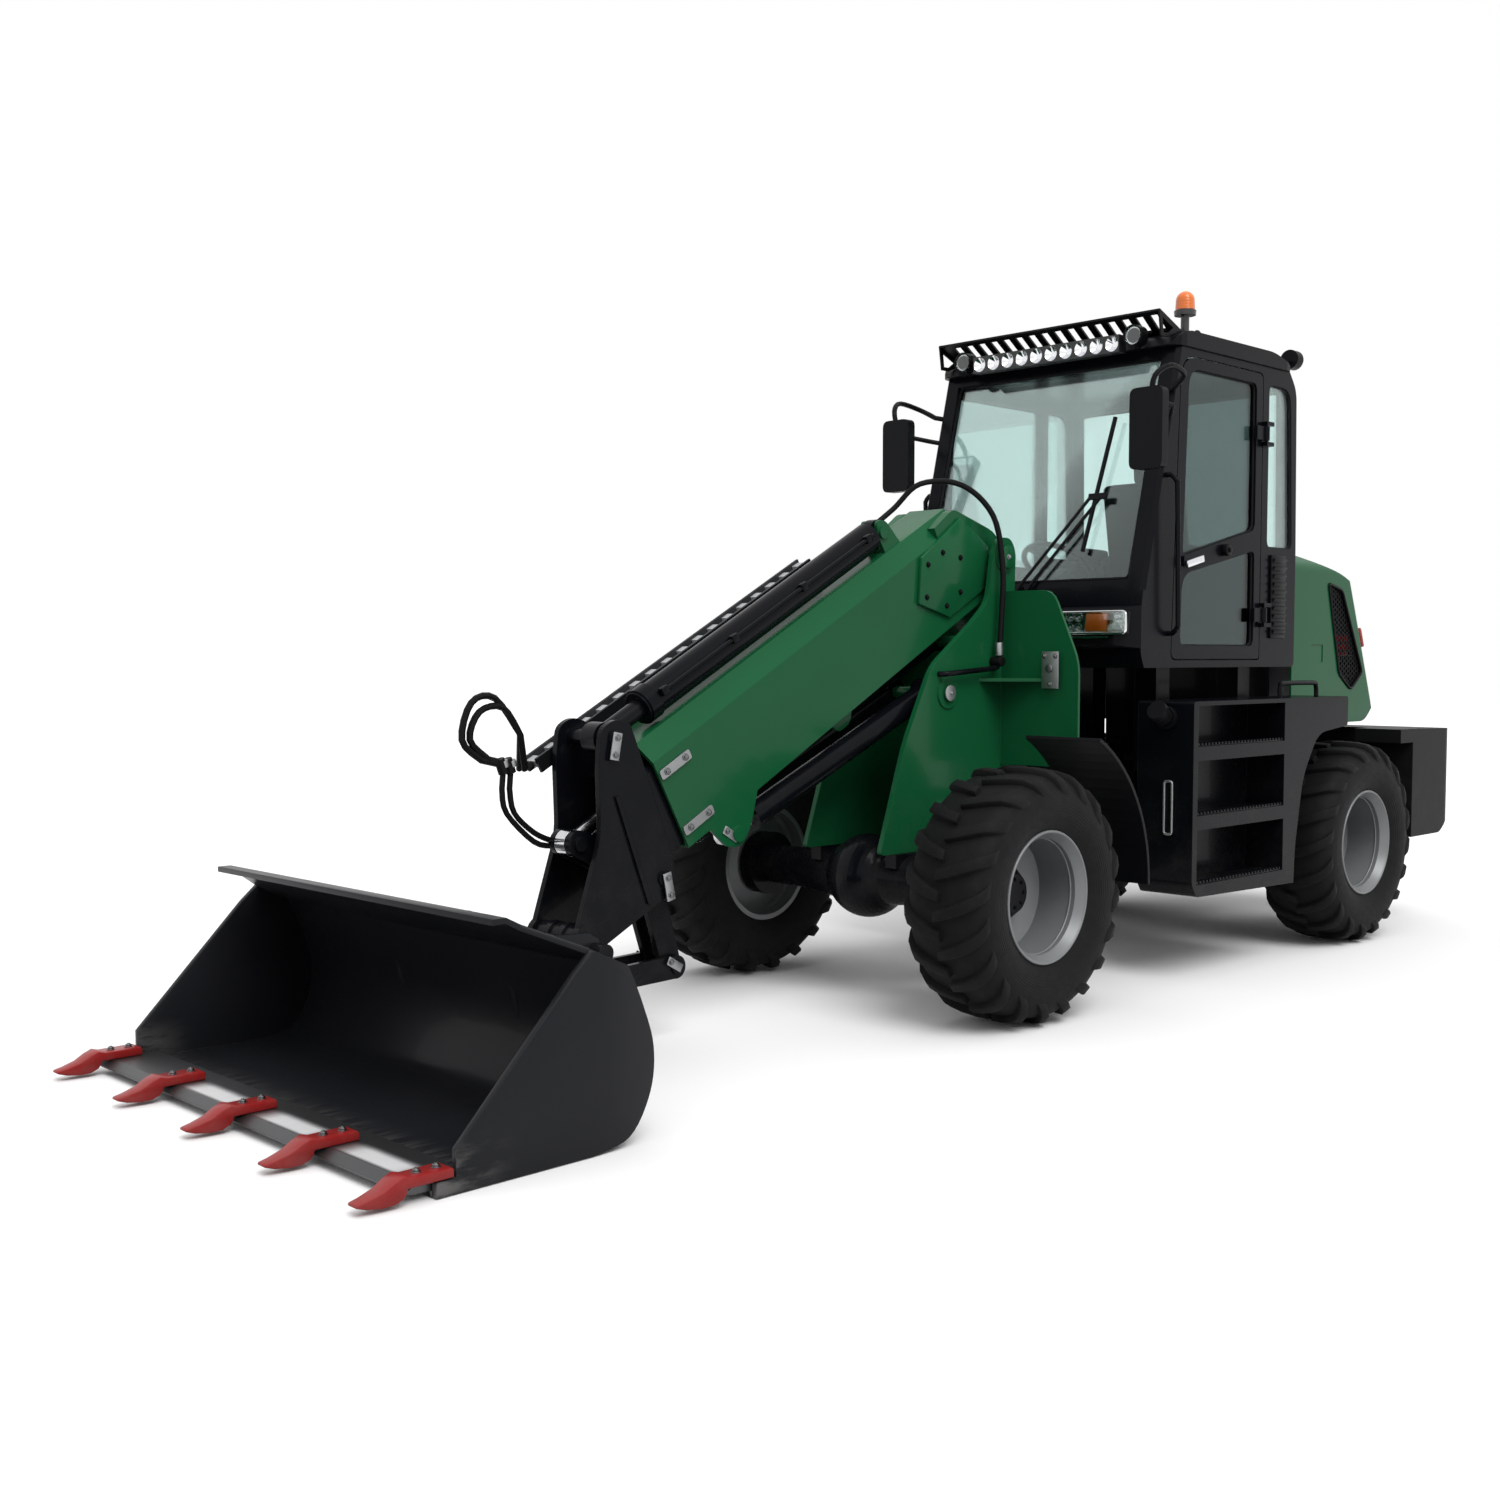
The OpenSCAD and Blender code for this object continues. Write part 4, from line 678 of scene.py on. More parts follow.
claws = [cut_plate([coupler_pin + Vector((x, 0, z)) for x, z in CLAW], y - 0.038, y + 0.038, 0.005, narrowing)
         for y in tooth_y]
teeth = hand_over(joined(claws), "claw_teeth", red, "bucket")
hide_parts("bucket_teeth")
hand_over(spread(new_bolt(), tooth_bolts), "tooth_bolts", bolt_steel, "bucket")
print("claws:", len(claws), "tooth bolts:", len(tooth_bolts))


# %% [markdown]
# ## Tyres
# The carcass is a profile spun round the axle. One tread bar is a small block, extruded five times along its
# length and then wrapped over the crown and down the shoulder; its copies go round the wheel, left and
# right in turn. Wrapping a straight bar is easier to check than drawing a curved one. Wheels on the right
# are made as mirror images.

# %% Tread bar
CARCASS = [(0.2724, 0.160), (0.300, 0.178), (0.340, 0.192), (0.385, 0.196), (0.430, 0.190), (0.462, 0.174),
           (0.484, 0.146), (0.494, 0.105), (0.499, 0.050), (0.500, 0.0)]
BAR_LINE = [(0.500, -0.012), (0.499, 0.045), (0.495, 0.098), (0.486, 0.142), (0.467, 0.170), (0.446, 0.185),
            (0.424, 0.191)]
BAR_RISE = [0.0250, 0.0255, 0.0262, 0.0265, 0.0220, 0.0120, 0.0030]
BARS, CUTS = 20, len(BAR_LINE) - 1
FOOT_DEPTH, TOP_SHARE = 0.012, 0.86


def wrapped(vertex, y_sign):
    station = round(vertex.x * CUTS)
    before, after = BAR_LINE[max(0, station - 1)], BAR_LINE[min(CUTS, station + 1)]
    outward = Vector((after[1] - before[1], before[0] - after[0])).normalized()
    spot = Vector(BAR_LINE[station]) + outward * (BAR_RISE[station] if vertex.z > 0 else -FOOT_DEPTH)
    width = (0.048 + 0.020 * station / CUTS) * (TOP_SHARE if vertex.z > 0 else 1.0)
    angle = math.radians(4.5 - 15 * (station / CUTS) ** 1.2) + vertex.y * width / spot.x
    return Vector((spot.x * math.sin(angle), y_sign * spot.y, spot.x * math.cos(angle)))


def bar_mesh(y_sign):
    deselect()
    bpy.ops.mesh.primitive_cube_add(size=1, location=(0, 0, 0))
    piece = bpy.context.object
    for vertex in piece.data.vertices:
        vertex.co.x = 1 / CUTS if vertex.co.x > 0 else 0
    for _ in range(CUTS - 1):
        reach = max(vertex.co.x for vertex in piece.data.vertices)
        pick_faces(piece, lambda face: face.center.x > reach - 0.01)
        bpy.ops.object.mode_set(mode="EDIT")
        bpy.ops.mesh.extrude_region_move(TRANSFORM_OT_translate={"value": (1 / CUTS, 0, 0)})
        bpy.ops.object.mode_set(mode="OBJECT")
    for vertex in piece.data.vertices:
        vertex.co = wrapped(vertex.co, y_sign)
    bpy.ops.object.mode_set(mode="EDIT")
    bpy.ops.mesh.select_all(action="SELECT")
    bpy.ops.mesh.normals_make_consistent(inside=False)
    bpy.ops.object.mode_set(mode="OBJECT")
    return soften(piece, 0.005)


# %% Carcass
def carcass():
    deselect()
    bpy.ops.mesh.primitive_plane_add(size=0.01, location=(0, 0, 0))
    piece = bpy.context.object
    line = [Vector((0, y, r)) for r, y in CARCASS] + [Vector((0, -y, r)) for r, y in reversed(CARCASS[:-1])]
    bpy.ops.object.mode_set(mode="EDIT")
    bpy.ops.mesh.select_mode(type="VERT")
    bpy.ops.mesh.select_all(action="SELECT")
    bpy.ops.mesh.merge(type="CENTER")
    bpy.ops.transform.translate(value=line[0])
    for here, there in zip(line, line[1:]):
        bpy.ops.mesh.extrude_vertices_move(TRANSFORM_OT_translate={"value": there - here})
    bpy.ops.mesh.select_all(action="SELECT")
    bpy.ops.mesh.spin(steps=72, angle=math.tau, center=(0, 0, 0), axis=(0, 1, 0))
    bpy.ops.mesh.select_all(action="SELECT")
    bpy.ops.mesh.remove_doubles(threshold=0.0002)
    bpy.ops.mesh.normals_make_consistent(inside=False)
    bpy.ops.object.mode_set(mode="OBJECT")
    return piece


# %% Four tyres
TYRE_Y = 0.795


def tyre_piece(side):
    pieces = [carcass()]
    for y_sign, start in ((side, 0.0), (-side, 0.5)):
        pattern = bar_mesh(y_sign)
        for i in range(BARS):
            pieces.append(twin(pattern))
            pieces[-1].matrix_world = Matrix.Rotation(math.tau * (i + start) / BARS, 4, "Y")
        bpy.data.objects.remove(pattern)
    return joined(pieces)


for side, word in SIDES:
    first = tyre_piece(side)
    for wheel, piece in (("f" + word[0], first), ("r" + word[0], twin(first))):
        piece.location = at(WHEELS[wheel][0], side * TYRE_Y, axle_z)
        hand_over(piece, "tread_" + wheel, tyres[wheel[0]], "wheel_" + wheel, 40)
        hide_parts("tyre_" + wheel)
print("tyre of", len(first.data.polygons), "faces, outer radius", round(first.dimensions.z / 2, 3))


# %% [markdown]
# ## Pin keepers and tags
# A keeper is a small zinc plate, held by two bolts, that stops a pin from turning. Each one is a block with
# broken edges, leaning as its place on the plate does; its bolts stand on its face. One function makes
# them all, because only length, lean and place differ.

# %% Keepers and tags
def keeper(place, length, lean, side, body, name, width=0.042, bolts=2):
    plate = block((width, 0.006, length), place, 0.0025, (0, lean, 0))
    step = Vector((math.sin(lean), 0, math.cos(lean))) * length * 0.31
    face = place + Vector((0, side * 0.003, 0))
    spots = [face + step, face - step][:bolts]
    heads = spread(new_bolt(), [(spot, (0, side, 0), 0.0115) for spot in spots])
    hand_over(heads, name + "_bolts", bolt_steel, body)
    return hand_over(plate, name, zinc, body)


KEEPER_Y, TAG_WIDTH, TAG_LEAN = 0.1555, 0.034, math.radians(60)
middle_pin = head_pin + Vector((-0.236, 0, -0.540))
rocker_pin = head_pin + Vector((-0.349, 0, -0.902))
for side, word in SIDES:
    keeper(head_pin + Vector((0.009, side * KEEPER_Y, -0.027)), 0.104, math.radians(-10.7), side, "inner_boom",
           "keeper_top_" + word)
    keeper(middle_pin + Vector((-0.013, side * KEEPER_Y, -0.031)), 0.110, math.radians(12.1), side, "inner_boom",
           "keeper_middle_" + word)
    keeper(on_boom(2.02, -0.212, side * 0.1632), 0.085, TAG_LEAN, side, "outer_boom", "ear_tag_" + word,
           TAG_WIDTH, 1)
    keeper(rocker_pin + Vector((0.02, side * 0.0975, 0.014)), 0.080, TAG_LEAN, side, "bellcrank",
           "rocker_tag_" + word, TAG_WIDTH, 1)
print("keepers and tags on both sides")


# %% Pin caps
LIFT_PIN = (-0.255, 1.332)
for side, word in SIDES:
    out = Vector((0, side, 0))
    caps = [drum(0.052, 0.010, at(PIVOT[0], side * 0.2455, PIVOT[1]), out, 0.003),
            drum(0.036, 0.008, at(LIFT_PIN[0], side * 0.2485, LIFT_PIN[1]), out, 0.003)]
    heads = spread(new_bolt(), [(at(PIVOT[0], side * 0.2505, PIVOT[1]), out, 0.011),
                                (at(LIFT_PIN[0], side * 0.2525, LIFT_PIN[1]), out, 0.009)])
    hand_over(caps[0], "pivot_cap_" + word, green, "outer_boom")
    hand_over(caps[1], "lift_pin_cap_" + word, zinc, "front_frame")
    hand_over(heads, "pin_cap_bolts_" + word, zinc, "front_frame")
print("pin caps:", 2 * len(caps))


# %% [markdown]
# ## Window rubbers
# Each pane sits in a black rubber bead. A bead is a round section swept along the window's outline, so it
# starts as a closed curve with rounded corners and becomes a mesh once its thickness is right. A curve is
# chosen because its section stays square to the run at every corner. Pipes and hoses use the same tube.

# %% Rounded outlines and tubes
def rounded(corners, radii, steps=6):
    points = []
    for i, corner in enumerate(corners):
        before, after = Vector(corners[i - 1]), Vector(corners[(i + 1) % len(corners)])
        here = Vector(corner)
        a = here + radii[i] * (before - here).normalized()
        b = here + radii[i] * (after - here).normalized()
        for j in range(steps + 1):
            t = j / steps
            points.append((1 - t) ** 2 * a + 2 * t * (1 - t) * here + t * t * b)
    return points


def tube(points, thickness, name, closed):
    line = bpy.data.curves.new(name, "CURVE")
    line.dimensions = "3D"
    line.bevel_depth = thickness
    line.bevel_resolution = 2
    line.use_fill_caps = not closed
    run = line.splines.new("POLY")
    run.points.add(len(points) - 1)
    for spot, point in zip(run.points, points):
        spot.co = (*point, 1)
    run.use_cyclic_u = closed
    piece = bpy.data.objects.new(name, line)
    scene.collection.objects.link(piece)
    deselect()
    piece.select_set(True)
    bpy.context.view_layer.objects.active = piece
    bpy.ops.object.convert(target="MESH")
    return bpy.context.object


def bead(points, thickness, name, finish, body, closed=True):
    return hand_over(tube(points, thickness, name, closed), name, finish, body, 60)


# %% Beads round the panes
CORNERS = (0.04, 0.04, 0.09, 0.04)
SIDE_PANES = {
    "door_upper": ([(-2.10, 2.120), (-1.428, 1.965), (-1.468, 2.842), (-2.10, 2.842)], 0.6735, "door"),
    "door_lower": ([(-2.10, 1.545), (-1.416, 1.545), (-1.426, 1.880), (-2.10, 2.020)], 0.6735, "door"),
    "rear_left": ([(-2.225, 2.040), (-2.480, 2.040), (-2.445, 2.850), (-2.225, 2.850)], 0.6795, "rear_frame"),
    "rear_right": ([(-2.225, 2.040), (-2.480, 2.040), (-2.445, 2.850), (-2.225, 2.850)], -0.6795, "rear_frame"),
    "side_right": ([(-2.165, 1.980), (-1.360, 1.980), (-1.400, 2.850), (-2.165, 2.850)], -0.6795, "rear_frame")}
for word, (corners, y, body) in SIDE_PANES.items():
    bead(rounded([at(x, y, z) for x, z in corners], CORNERS), 0.0065, "rubber_" + word, seal, body)
screen = [at(-1.112, -0.6, 1.853), at(-1.112, 0.6, 1.853), at(-1.389, 0.6, 2.882), at(-1.389, -0.6, 2.882)]
bead(rounded(screen, (0.03,) * 4), 0.007, "rubber_windscreen", seal, "rear_frame")
back = [at(-2.510, -0.6, 2.053), at(-2.510, 0.6, 2.053), at(-2.492, 0.6, 2.847), at(-2.492, -0.6, 2.847)]
bead(rounded(back, (0.03,) * 4), 0.007, "rubber_rear_window", seal, "rear_frame")
print("rubber beads:", len(SIDE_PANES) + 2)


# %% [markdown]
# ## Door furniture
# A chrome paddle handle and a round lock sit on the door's sloping belt, and a panel of slats lets air out
# behind the door. The handle is a thin block with broad bevels, turned to the belt's slope; a slat is one
# block that leans, repeated upwards, because a louvre is only read by its row of shadows.

# %% Handle and lock
paddle = block((0.15, 0.016, 0.034), at(-1.482, 0.7245, 1.940), 0.005, (0, math.radians(13), 0))
lock = drum(0.029, 0.030, at(-1.806, 0.7055, 2.008), (0, 1, 0), 0.006)
hub = drum(0.013, 0.010, at(-1.806, 0.7250, 2.008), (0, 1, 0), 0.003)
hand_over(paddle, "door_handle", mirror, "door")
hand_over(joined([lock, hub]), "door_lock", plastic, "door")
print("door furniture: handle and lock")


# %% Louvres
SLATS = 10
for side, word in SIDES:
    slats = [block((0.15, 0.012, 0.42), at(-2.330, side * 0.6965, 1.795), 0.004)]
    for i in range(SLATS):
        slats.append(block((0.126, 0.012, 0.026), at(-2.330, side * 0.7045, 1.615 + 0.04 * i), 0.002,
                           (math.radians(-35 * side), 0, 0)))
    hand_over(joined(slats), "cab_louvres_" + word, plastic, "rear_frame")
print("louvre slats:", 2 * SLATS)


# %% [markdown]
# ## Lamps
# Behind each headlamp's clear cover sit six small cups, a large one and an amber indicator. A cup is a disc
# whose face is inset and pushed back, which is all that a small reflector needs from a few metres away.

# %% A reflector cup
def cup(radius, place, direction, depth):
    deselect()
    bpy.ops.mesh.primitive_cylinder_add(vertices=28, radius=radius, depth=0.006, location=(0, 0, 0))
    piece = bpy.context.object
    pick_faces(piece, lambda face: face.normal.z > 0.9)
    bpy.ops.object.mode_set(mode="EDIT")
    bpy.ops.mesh.inset(thickness=radius * 0.12, depth=0)
    bpy.ops.mesh.inset(thickness=radius * 0.55, depth=-depth)
    bpy.ops.mesh.inset(thickness=radius * 0.12, depth=depth * 0.5)
    bpy.ops.object.mode_set(mode="OBJECT")
    piece.matrix_world = Matrix.LocRotScale(Vector(place), facing(direction), Vector((1, 1, 1)))
    return piece


# %% Headlamps
LEAN = math.radians(8.7)
ahead = (math.cos(LEAN), 0, math.sin(LEAN))
for side, word in SIDES:
    nose = at(-0.9925, side * 0.481, 1.648)
    rim_points = [nose + Vector((-z * math.sin(LEAN), side * y, z * math.cos(LEAN)))
                  for y, z in ((-0.187, -0.048), (0.187, -0.048), (0.178, 0.050), (-0.187, 0.050))]
    bead(rounded(rim_points, (0.018,) * 4), 0.008, "headlamp_bezel_" + word, mirror, "rear_frame")
    backing = block((0.024, 0.384, 0.106), nose - 0.012 * Vector(ahead), 0.005, (0, -LEAN, 0))
    hand_over(backing, "headlamp_housing_" + word, plastic, "rear_frame")
    cups_here = [cup(0.021, nose + Vector((0.003 - z * math.sin(LEAN), side * y, z)), ahead, 0.003)
                 for z in (-0.022, 0.024) for y in (-0.156, -0.112, -0.068)]
    cups_here.append(cup(0.036, nose + Vector((0.003, side * 0.140, 0.001)), ahead, 0.004))
    hand_over(joined(cups_here), "headlamp_cups_" + word, mirror, "rear_frame")
    flash = block((0.010, 0.116, 0.080), nose + Vector((0.004, side * 0.030, 0.001)), 0.003, (0, -LEAN, 0))
    hand_over(flash, "indicator_" + word, amber, "rear_frame")
    cover = block((0.004, 0.370, 0.096), nose + 0.011 * Vector(ahead), 0.0012, (0, -LEAN, 0))
    hand_over(cover, "headlamp_cover_" + word, clear, "rear_frame")
print("headlamps: cups in each", len(cups_here))


# %% Work lamps and mirrors
for side, word in SIDES:
    front = drum(0.0425, 0.005, at(-1.277, side * 0.502, 2.992), (1, 0, 0), 0.0015)
    rear = drum(0.0425, 0.005, at(-2.6425, side * 0.600, 3.032), (-1, 0, 0), 0.0015)
    hand_over(joined([front, rear]), "work_lamp_lenses_" + word, clear, "rear_frame")
    bowls = [cup(0.041, at(-1.2835, side * 0.502, 2.992), (1, 0, 0), 0.004),
             cup(0.041, at(-2.6355, side * 0.600, 3.032), (-1, 0, 0), 0.004)]
    hand_over(joined(bowls), "work_lamp_cups_" + word, mirror, "rear_frame")
    glass_back = block((0.004, 0.142, 0.335), at(-1.0772, side * 0.735, 2.5175), 0.0015)
    hand_over(glass_back, "mirror_glass_" + word, mirror, "rear_frame")
print("work lamps and mirrors dressed on both sides")


# %% [markdown]
# ## Mesh in the hood
# The hood's openings are closed by a punched mesh of hexagons. One cell is a six-sided face, drawn in and
# emptied; arrays repeat it both ways, and straight bisects trim the sheet to the opening's outline. Real
# holes are worth their faces here, because the light comes through them from the far side.

# %% Hexagon mesh
GRILLE = [(-3.033, 1.890), (-3.195, 1.855), (-3.452, 1.405), (-3.316, 1.310), (-3.172, 1.400)]


def mesh_sheet(name, side):
    deselect()
    pitch = 0.028
    bpy.ops.mesh.primitive_circle_add(vertices=6, radius=pitch / math.sqrt(3), fill_type="NGON",
                                      rotation=(math.radians(90), 0, 0), location=at(-3.47, side * 0.6135, 1.30))
    piece = bpy.context.object
    bpy.ops.object.transform_apply(location=True, rotation=True, scale=True)
    bpy.ops.object.mode_set(mode="EDIT")
    bpy.ops.mesh.select_all(action="SELECT")
    bpy.ops.mesh.inset(thickness=0.0042, depth=0)
    bpy.ops.mesh.delete(type="FACE")
    bpy.ops.object.mode_set(mode="OBJECT")
    wide, tall = pitch * math.sqrt(3), pitch
    for count, offset in ((2, (wide / 2, 0, tall / 2)), (10, (wide, 0, 0)), (22, (0, 0, tall))):
        repeat(piece, count, offset, 0.0004)
    middle = sum((at(x, 0, z) for x, z in GRILLE), Vector()) / len(GRILLE)
    bpy.ops.object.mode_set(mode="EDIT")
    for i, (x, z) in enumerate(GRILLE):
        spot = at(x, 0, z)
        x_next, z_next = GRILLE[(i + 1) % len(GRILLE)]
        run = at(x_next, 0, z_next) - spot
        normal = Vector((run.z, 0, -run.x)).normalized()
        if (middle - spot).dot(normal) > 0:
            normal = -normal
        bpy.ops.mesh.select_all(action="SELECT")
        bpy.ops.mesh.bisect(plane_co=spot, plane_no=normal, clear_outer=True)
    bpy.ops.object.mode_set(mode="OBJECT")
    wall = piece.modifiers.new("wall", "SOLIDIFY")
    wall.thickness = 0.003
    wall.offset = 0
    bpy.ops.object.modifier_apply(modifier="wall")
    return hand_over(piece, name, plastic, "hood")


for side, word in SIDES:
    sheet = mesh_sheet("hood_mesh_" + word, side)
    print(sheet.name, len(sheet.data.polygons), "faces")
    frame_line = rounded([at(x, side * 0.6215, z) for x, z in GRILLE], (0.03,) * 5)
    bead(frame_line, 0.008, "hood_mesh_frame_" + word, plastic, "hood")


# %% [markdown]
# ## Step treads
# A serrated strip on each step stops a boot from slipping. One tooth is a small block with broken edges, and
# an array repeats it along the step, so that all teeth stay alike and evenly spaced.

# %% Serrated strips
STEPS, STRIP_TEETH = (0.455, 0.770, 1.085), 27
for side, word in SIDES:
    strips = []
    for z in STEPS:
        strips.append(block((0.79, 0.036, 0.005), at(-1.585, side * 0.908, z + 0.0030), 0.001))
        tooth = block((0.016, 0.034, 0.012), at(-1.970, side * 0.908, z + 0.0100), 0.003)
        repeat(tooth, STRIP_TEETH, (0.0296, 0, 0))
        strips.append(tooth)
    hand_over(joined(strips), "step_treads_" + word, black, "rear_frame")
print("treads:", 2 * len(STEPS), "strips of", STRIP_TEETH, "teeth")


# %% [markdown]
# ## Oil pipes and hose collars
# A steel pipe runs along the extension cylinder in clamps, and each hose has a bright crimped collar where it
# leaves its fitting. Pipes are tubes along a line and collars are bevelled drums: turned parts need no more.

# %% Pipes and collars
PIPE_H = 0.434
bead([on_boom(s, PIPE_H, 0.122) for s in (0.66, 1.2, 1.7, 2.03)], 0.0085, "extension_pipe", black,
     "outer_boom", closed=False)
clamps = [block((0.035, 0.026, 0.034), on_boom(s, PIPE_H, 0.120), 0.004, (0, DIP, 0))
          for s in (0.70, 1.15, 1.60, 2.02)]
hand_over(joined(clamps), "extension_pipe_clamps", black, "outer_boom")
arch_collar = drum(0.0185, 0.060, at(-0.575, 0.271, 1.527), (0.06, 0.0, 1), 0.004, 20)
hand_over(arch_collar, "arch_collar", zinc, "front_frame")
collars = [drum(0.0205, 0.026, head_pin + Vector((0.302 + out, -0.093, -0.088)), (0.342, 0, 0.94), 0.003, 20)
           for out in (0, 0.034)]
hand_over(joined(collars), "coupling_collars", zinc, "inner_boom")
print("clamps:", len(clamps), "collars:", 1 + len(collars))


# %% [markdown]
# ## Small fittings
# A few small things make the machine look used and serviced: an oil pipe and a cable bracket on the tower, the
# frame of a level gauge on the tank, lamps on the hood's flanks, lifting eyes on the roof, and the rolled
# edges of the rims. The flank of the hood slopes, so a ray finds the spot and the normal for its lamp.

# %% Pipe and bracket on the tower
pipe_line = [at(-0.575, 0.238, 1.452), at(-0.575, 0.262, 1.446), at(-0.545, 0.268, 1.440), at(-0.34, 0.268, 1.426),
             at(-0.225, 0.268, 1.418), at(-0.200, 0.262, 1.416), at(-0.195, 0.228, 1.416)]
bead(pipe_line, 0.013, "tower_pipe", black, "front_frame", closed=False)
bracket = block((0.006, 0.090, 0.165), at(-0.6175, 0.520, 1.433), 0.002)
hand_over(bracket, "bulkhead_bracket", zinc, "front_frame")
bracket_bolts = [(at(-0.6145, y, z), (1, 0, 0), 0.010) for y, z in ((0.490, 1.495), (0.550, 1.495), (0.520, 1.370))]
grommet = [drum(0.019, 0.016, at(-0.611, 0.520, 1.440), (1, 0, 0), 0.005), spread(new_bolt(), bracket_bolts)]
hand_over(joined(grommet), "bracket_bolts", bolt_steel, "front_frame")
print("bracket bolts:", len(bracket_bolts))


# %% Gauge, flank lamps and lifting eyes
gauge = [at(-1.1335, y, z) for y, z in ((0.790, 0.684), (0.830, 0.684), (0.830, 0.926), (0.790, 0.926))]
bead(rounded(gauge, (0.015,) * 4), 0.006, "gauge_frame", zinc, "rear_frame")
for side, word in SIDES:
    spot, normal = frame["nodes"]["hood"].ray_cast(at(-3.600, side * 1.2, 1.600), (0, -side, 0))[1:3]
    lamp_body = block((0.052, 0.110, 0.020), (0, 0, 0), 0.007)
    lamp_body.matrix_world = Matrix.LocRotScale(spot + 0.006 * normal, facing(normal), Vector((1, 1, 1)))
    hand_over(lamp_body, "side_tail_lamp_" + word, red_glass, "hood")
    bead(ring_of(-1.75, side * 0.56, 3.036, 0.030, 24), 0.0075, "lifting_eye_" + word, black,
         "rear_frame")
    print("lamp on the hood's flank at", [round(v, 3) for v in spot])


# %% Rolled edges of the rims
for wheel, (x, side) in WHEELS.items():
    for word, radius, y, thick in (("flange", 0.2665, 0.9585, 0.0065), ("step", 0.2370, 0.902, 0.0050)):
        bead(ring_of(x, side * y, axle_z, radius, 64), thick, "rim_" + word + "_" + wheel, rims[wheel[0]],
             "wheel_" + wheel)
print("rings:", 2 * len(WHEELS))


# %% [markdown]
# ## The driver's seat
# The solid seat is only a stand-in for foam and vinyl. Each cushion starts as a block, is cut into
# a grid, and its middle is raised so that it is crowned, with a sewn channel near each side; a Subdivision
# Surface rounds it off. Moving points by a rule is quick and gives the same cushion on every run.

# %% A cushion
def cushion(name, size, place, lean, crown):
    deselect()
    bpy.ops.mesh.primitive_cube_add(size=1, location=(0, 0, 0))
    piece = bpy.context.object
    piece.scale = size
    bpy.ops.object.transform_apply(location=False, rotation=False, scale=True)
    soften(piece, min(size) * 0.3, 3)
    bpy.ops.object.mode_set(mode="EDIT")
    bpy.ops.mesh.select_all(action="SELECT")
    bpy.ops.mesh.subdivide(number_cuts=5)
    bpy.ops.object.mode_set(mode="OBJECT")
    for vertex in piece.data.vertices:
        u, v = 2 * vertex.co.x / size[0], 2 * vertex.co.y / size[1]
        swell = max(0, 1 - u * u) * max(0, 1 - v * v)
        channel = 1 - 0.35 * math.exp(-(max(0, abs(v) - 0.58) / 0.05) ** 2) * (abs(v) > 0.5)
        if vertex.co.z > 0:
            vertex.co.z += crown * swell * channel
    smooth = piece.modifiers.new("foam", "SUBSURF")
    smooth.levels = smooth.render_levels = 1
    bpy.ops.object.modifier_apply(modifier="foam")
    piece.matrix_world = Matrix.LocRotScale(place, Matrix.Rotation(lean, 3, "Y").to_euler(), Vector((1, 1, 1)))
    hand_over(piece, name, vinyl, "rear_frame", 60)
    return piece


# %% Seat and its base
seat = cushion("seat_cushion", (0.50, 0.48, 0.105), at(-1.995, 0, 1.797), math.radians(-2), 0.022)
cushion("seat_back", (0.56, 0.46, 0.10), at(-2.222, 0, 2.135), math.radians(-80), 0.022)
cushion("seat_headrest", (0.20, 0.25, 0.075), at(-2.298, 0, 2.520), math.radians(-84), 0.012)
for side, word in SIDES:
    cushion("seat_armrest_" + word, (0.34, 0.055, 0.055), at(-2.08, side * 0.28, 2.040), 0, 0.006)
base = [block((0.32, 0.30, 0.26), at(-2.04, 0, 1.612), 0.012)]
for i in range(5):
    base.append(block((0.335, 0.315, 0.022), at(-2.04, 0, 1.522 + 0.045 * i), 0.008))
for side, word in SIDES:
    base.append(block((0.05, 0.030, 0.19), at(-2.21, side * 0.253, 1.93), 0.006))
base.append(block((0.03, 0.10, 0.10), at(-2.272, 0, 2.44), 0.006, (0, math.radians(8), 0)))
hand_over(joined(base), "seat_base", plastic, "rear_frame")
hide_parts("operator_seat")
print("seat cushion, metres:", [round(v, 3) for v in seat.dimensions])


# %% [markdown]
# ## The bucket's shell
# A bucket is rolled from one sheet and closed by two cut plates. Here a single edge, as wide as the sheet, is
# extruded from point to point along the rolled profile, and the last steps narrow it into the guard over the
# load. A Solidify gives the sheet its wall, inwards, so that the inside is as clean as the outside.

# %% Rolled sheet
BUCKET_HALF, SIDE_WALL, SHEET_WALL, FLOOR = 1.030, 0.025, 0.020, -0.456
ROLL = [(0.690, FLOOR), (0.548, -0.424), (0.466, -0.300), (0.452, -0.160), (0.496, -0.020), (0.552, 0.104)]


def smooth_line(points, steps):
    line = []
    for i in range(len(points) - 1):
        a, b, c, d = [Vector(points[max(0, min(len(points) - 1, i + k))]) for k in (-1, 0, 1, 2)]
        for t in [j / steps for j in range(steps)]:
            line.append(0.5 * (2 * b + (c - a) * t + (2 * a - 5 * b + 4 * c - d) * t ** 2
                               + (3 * b - a - 3 * c + d) * t ** 3))
    return line + [Vector(points[-1])]


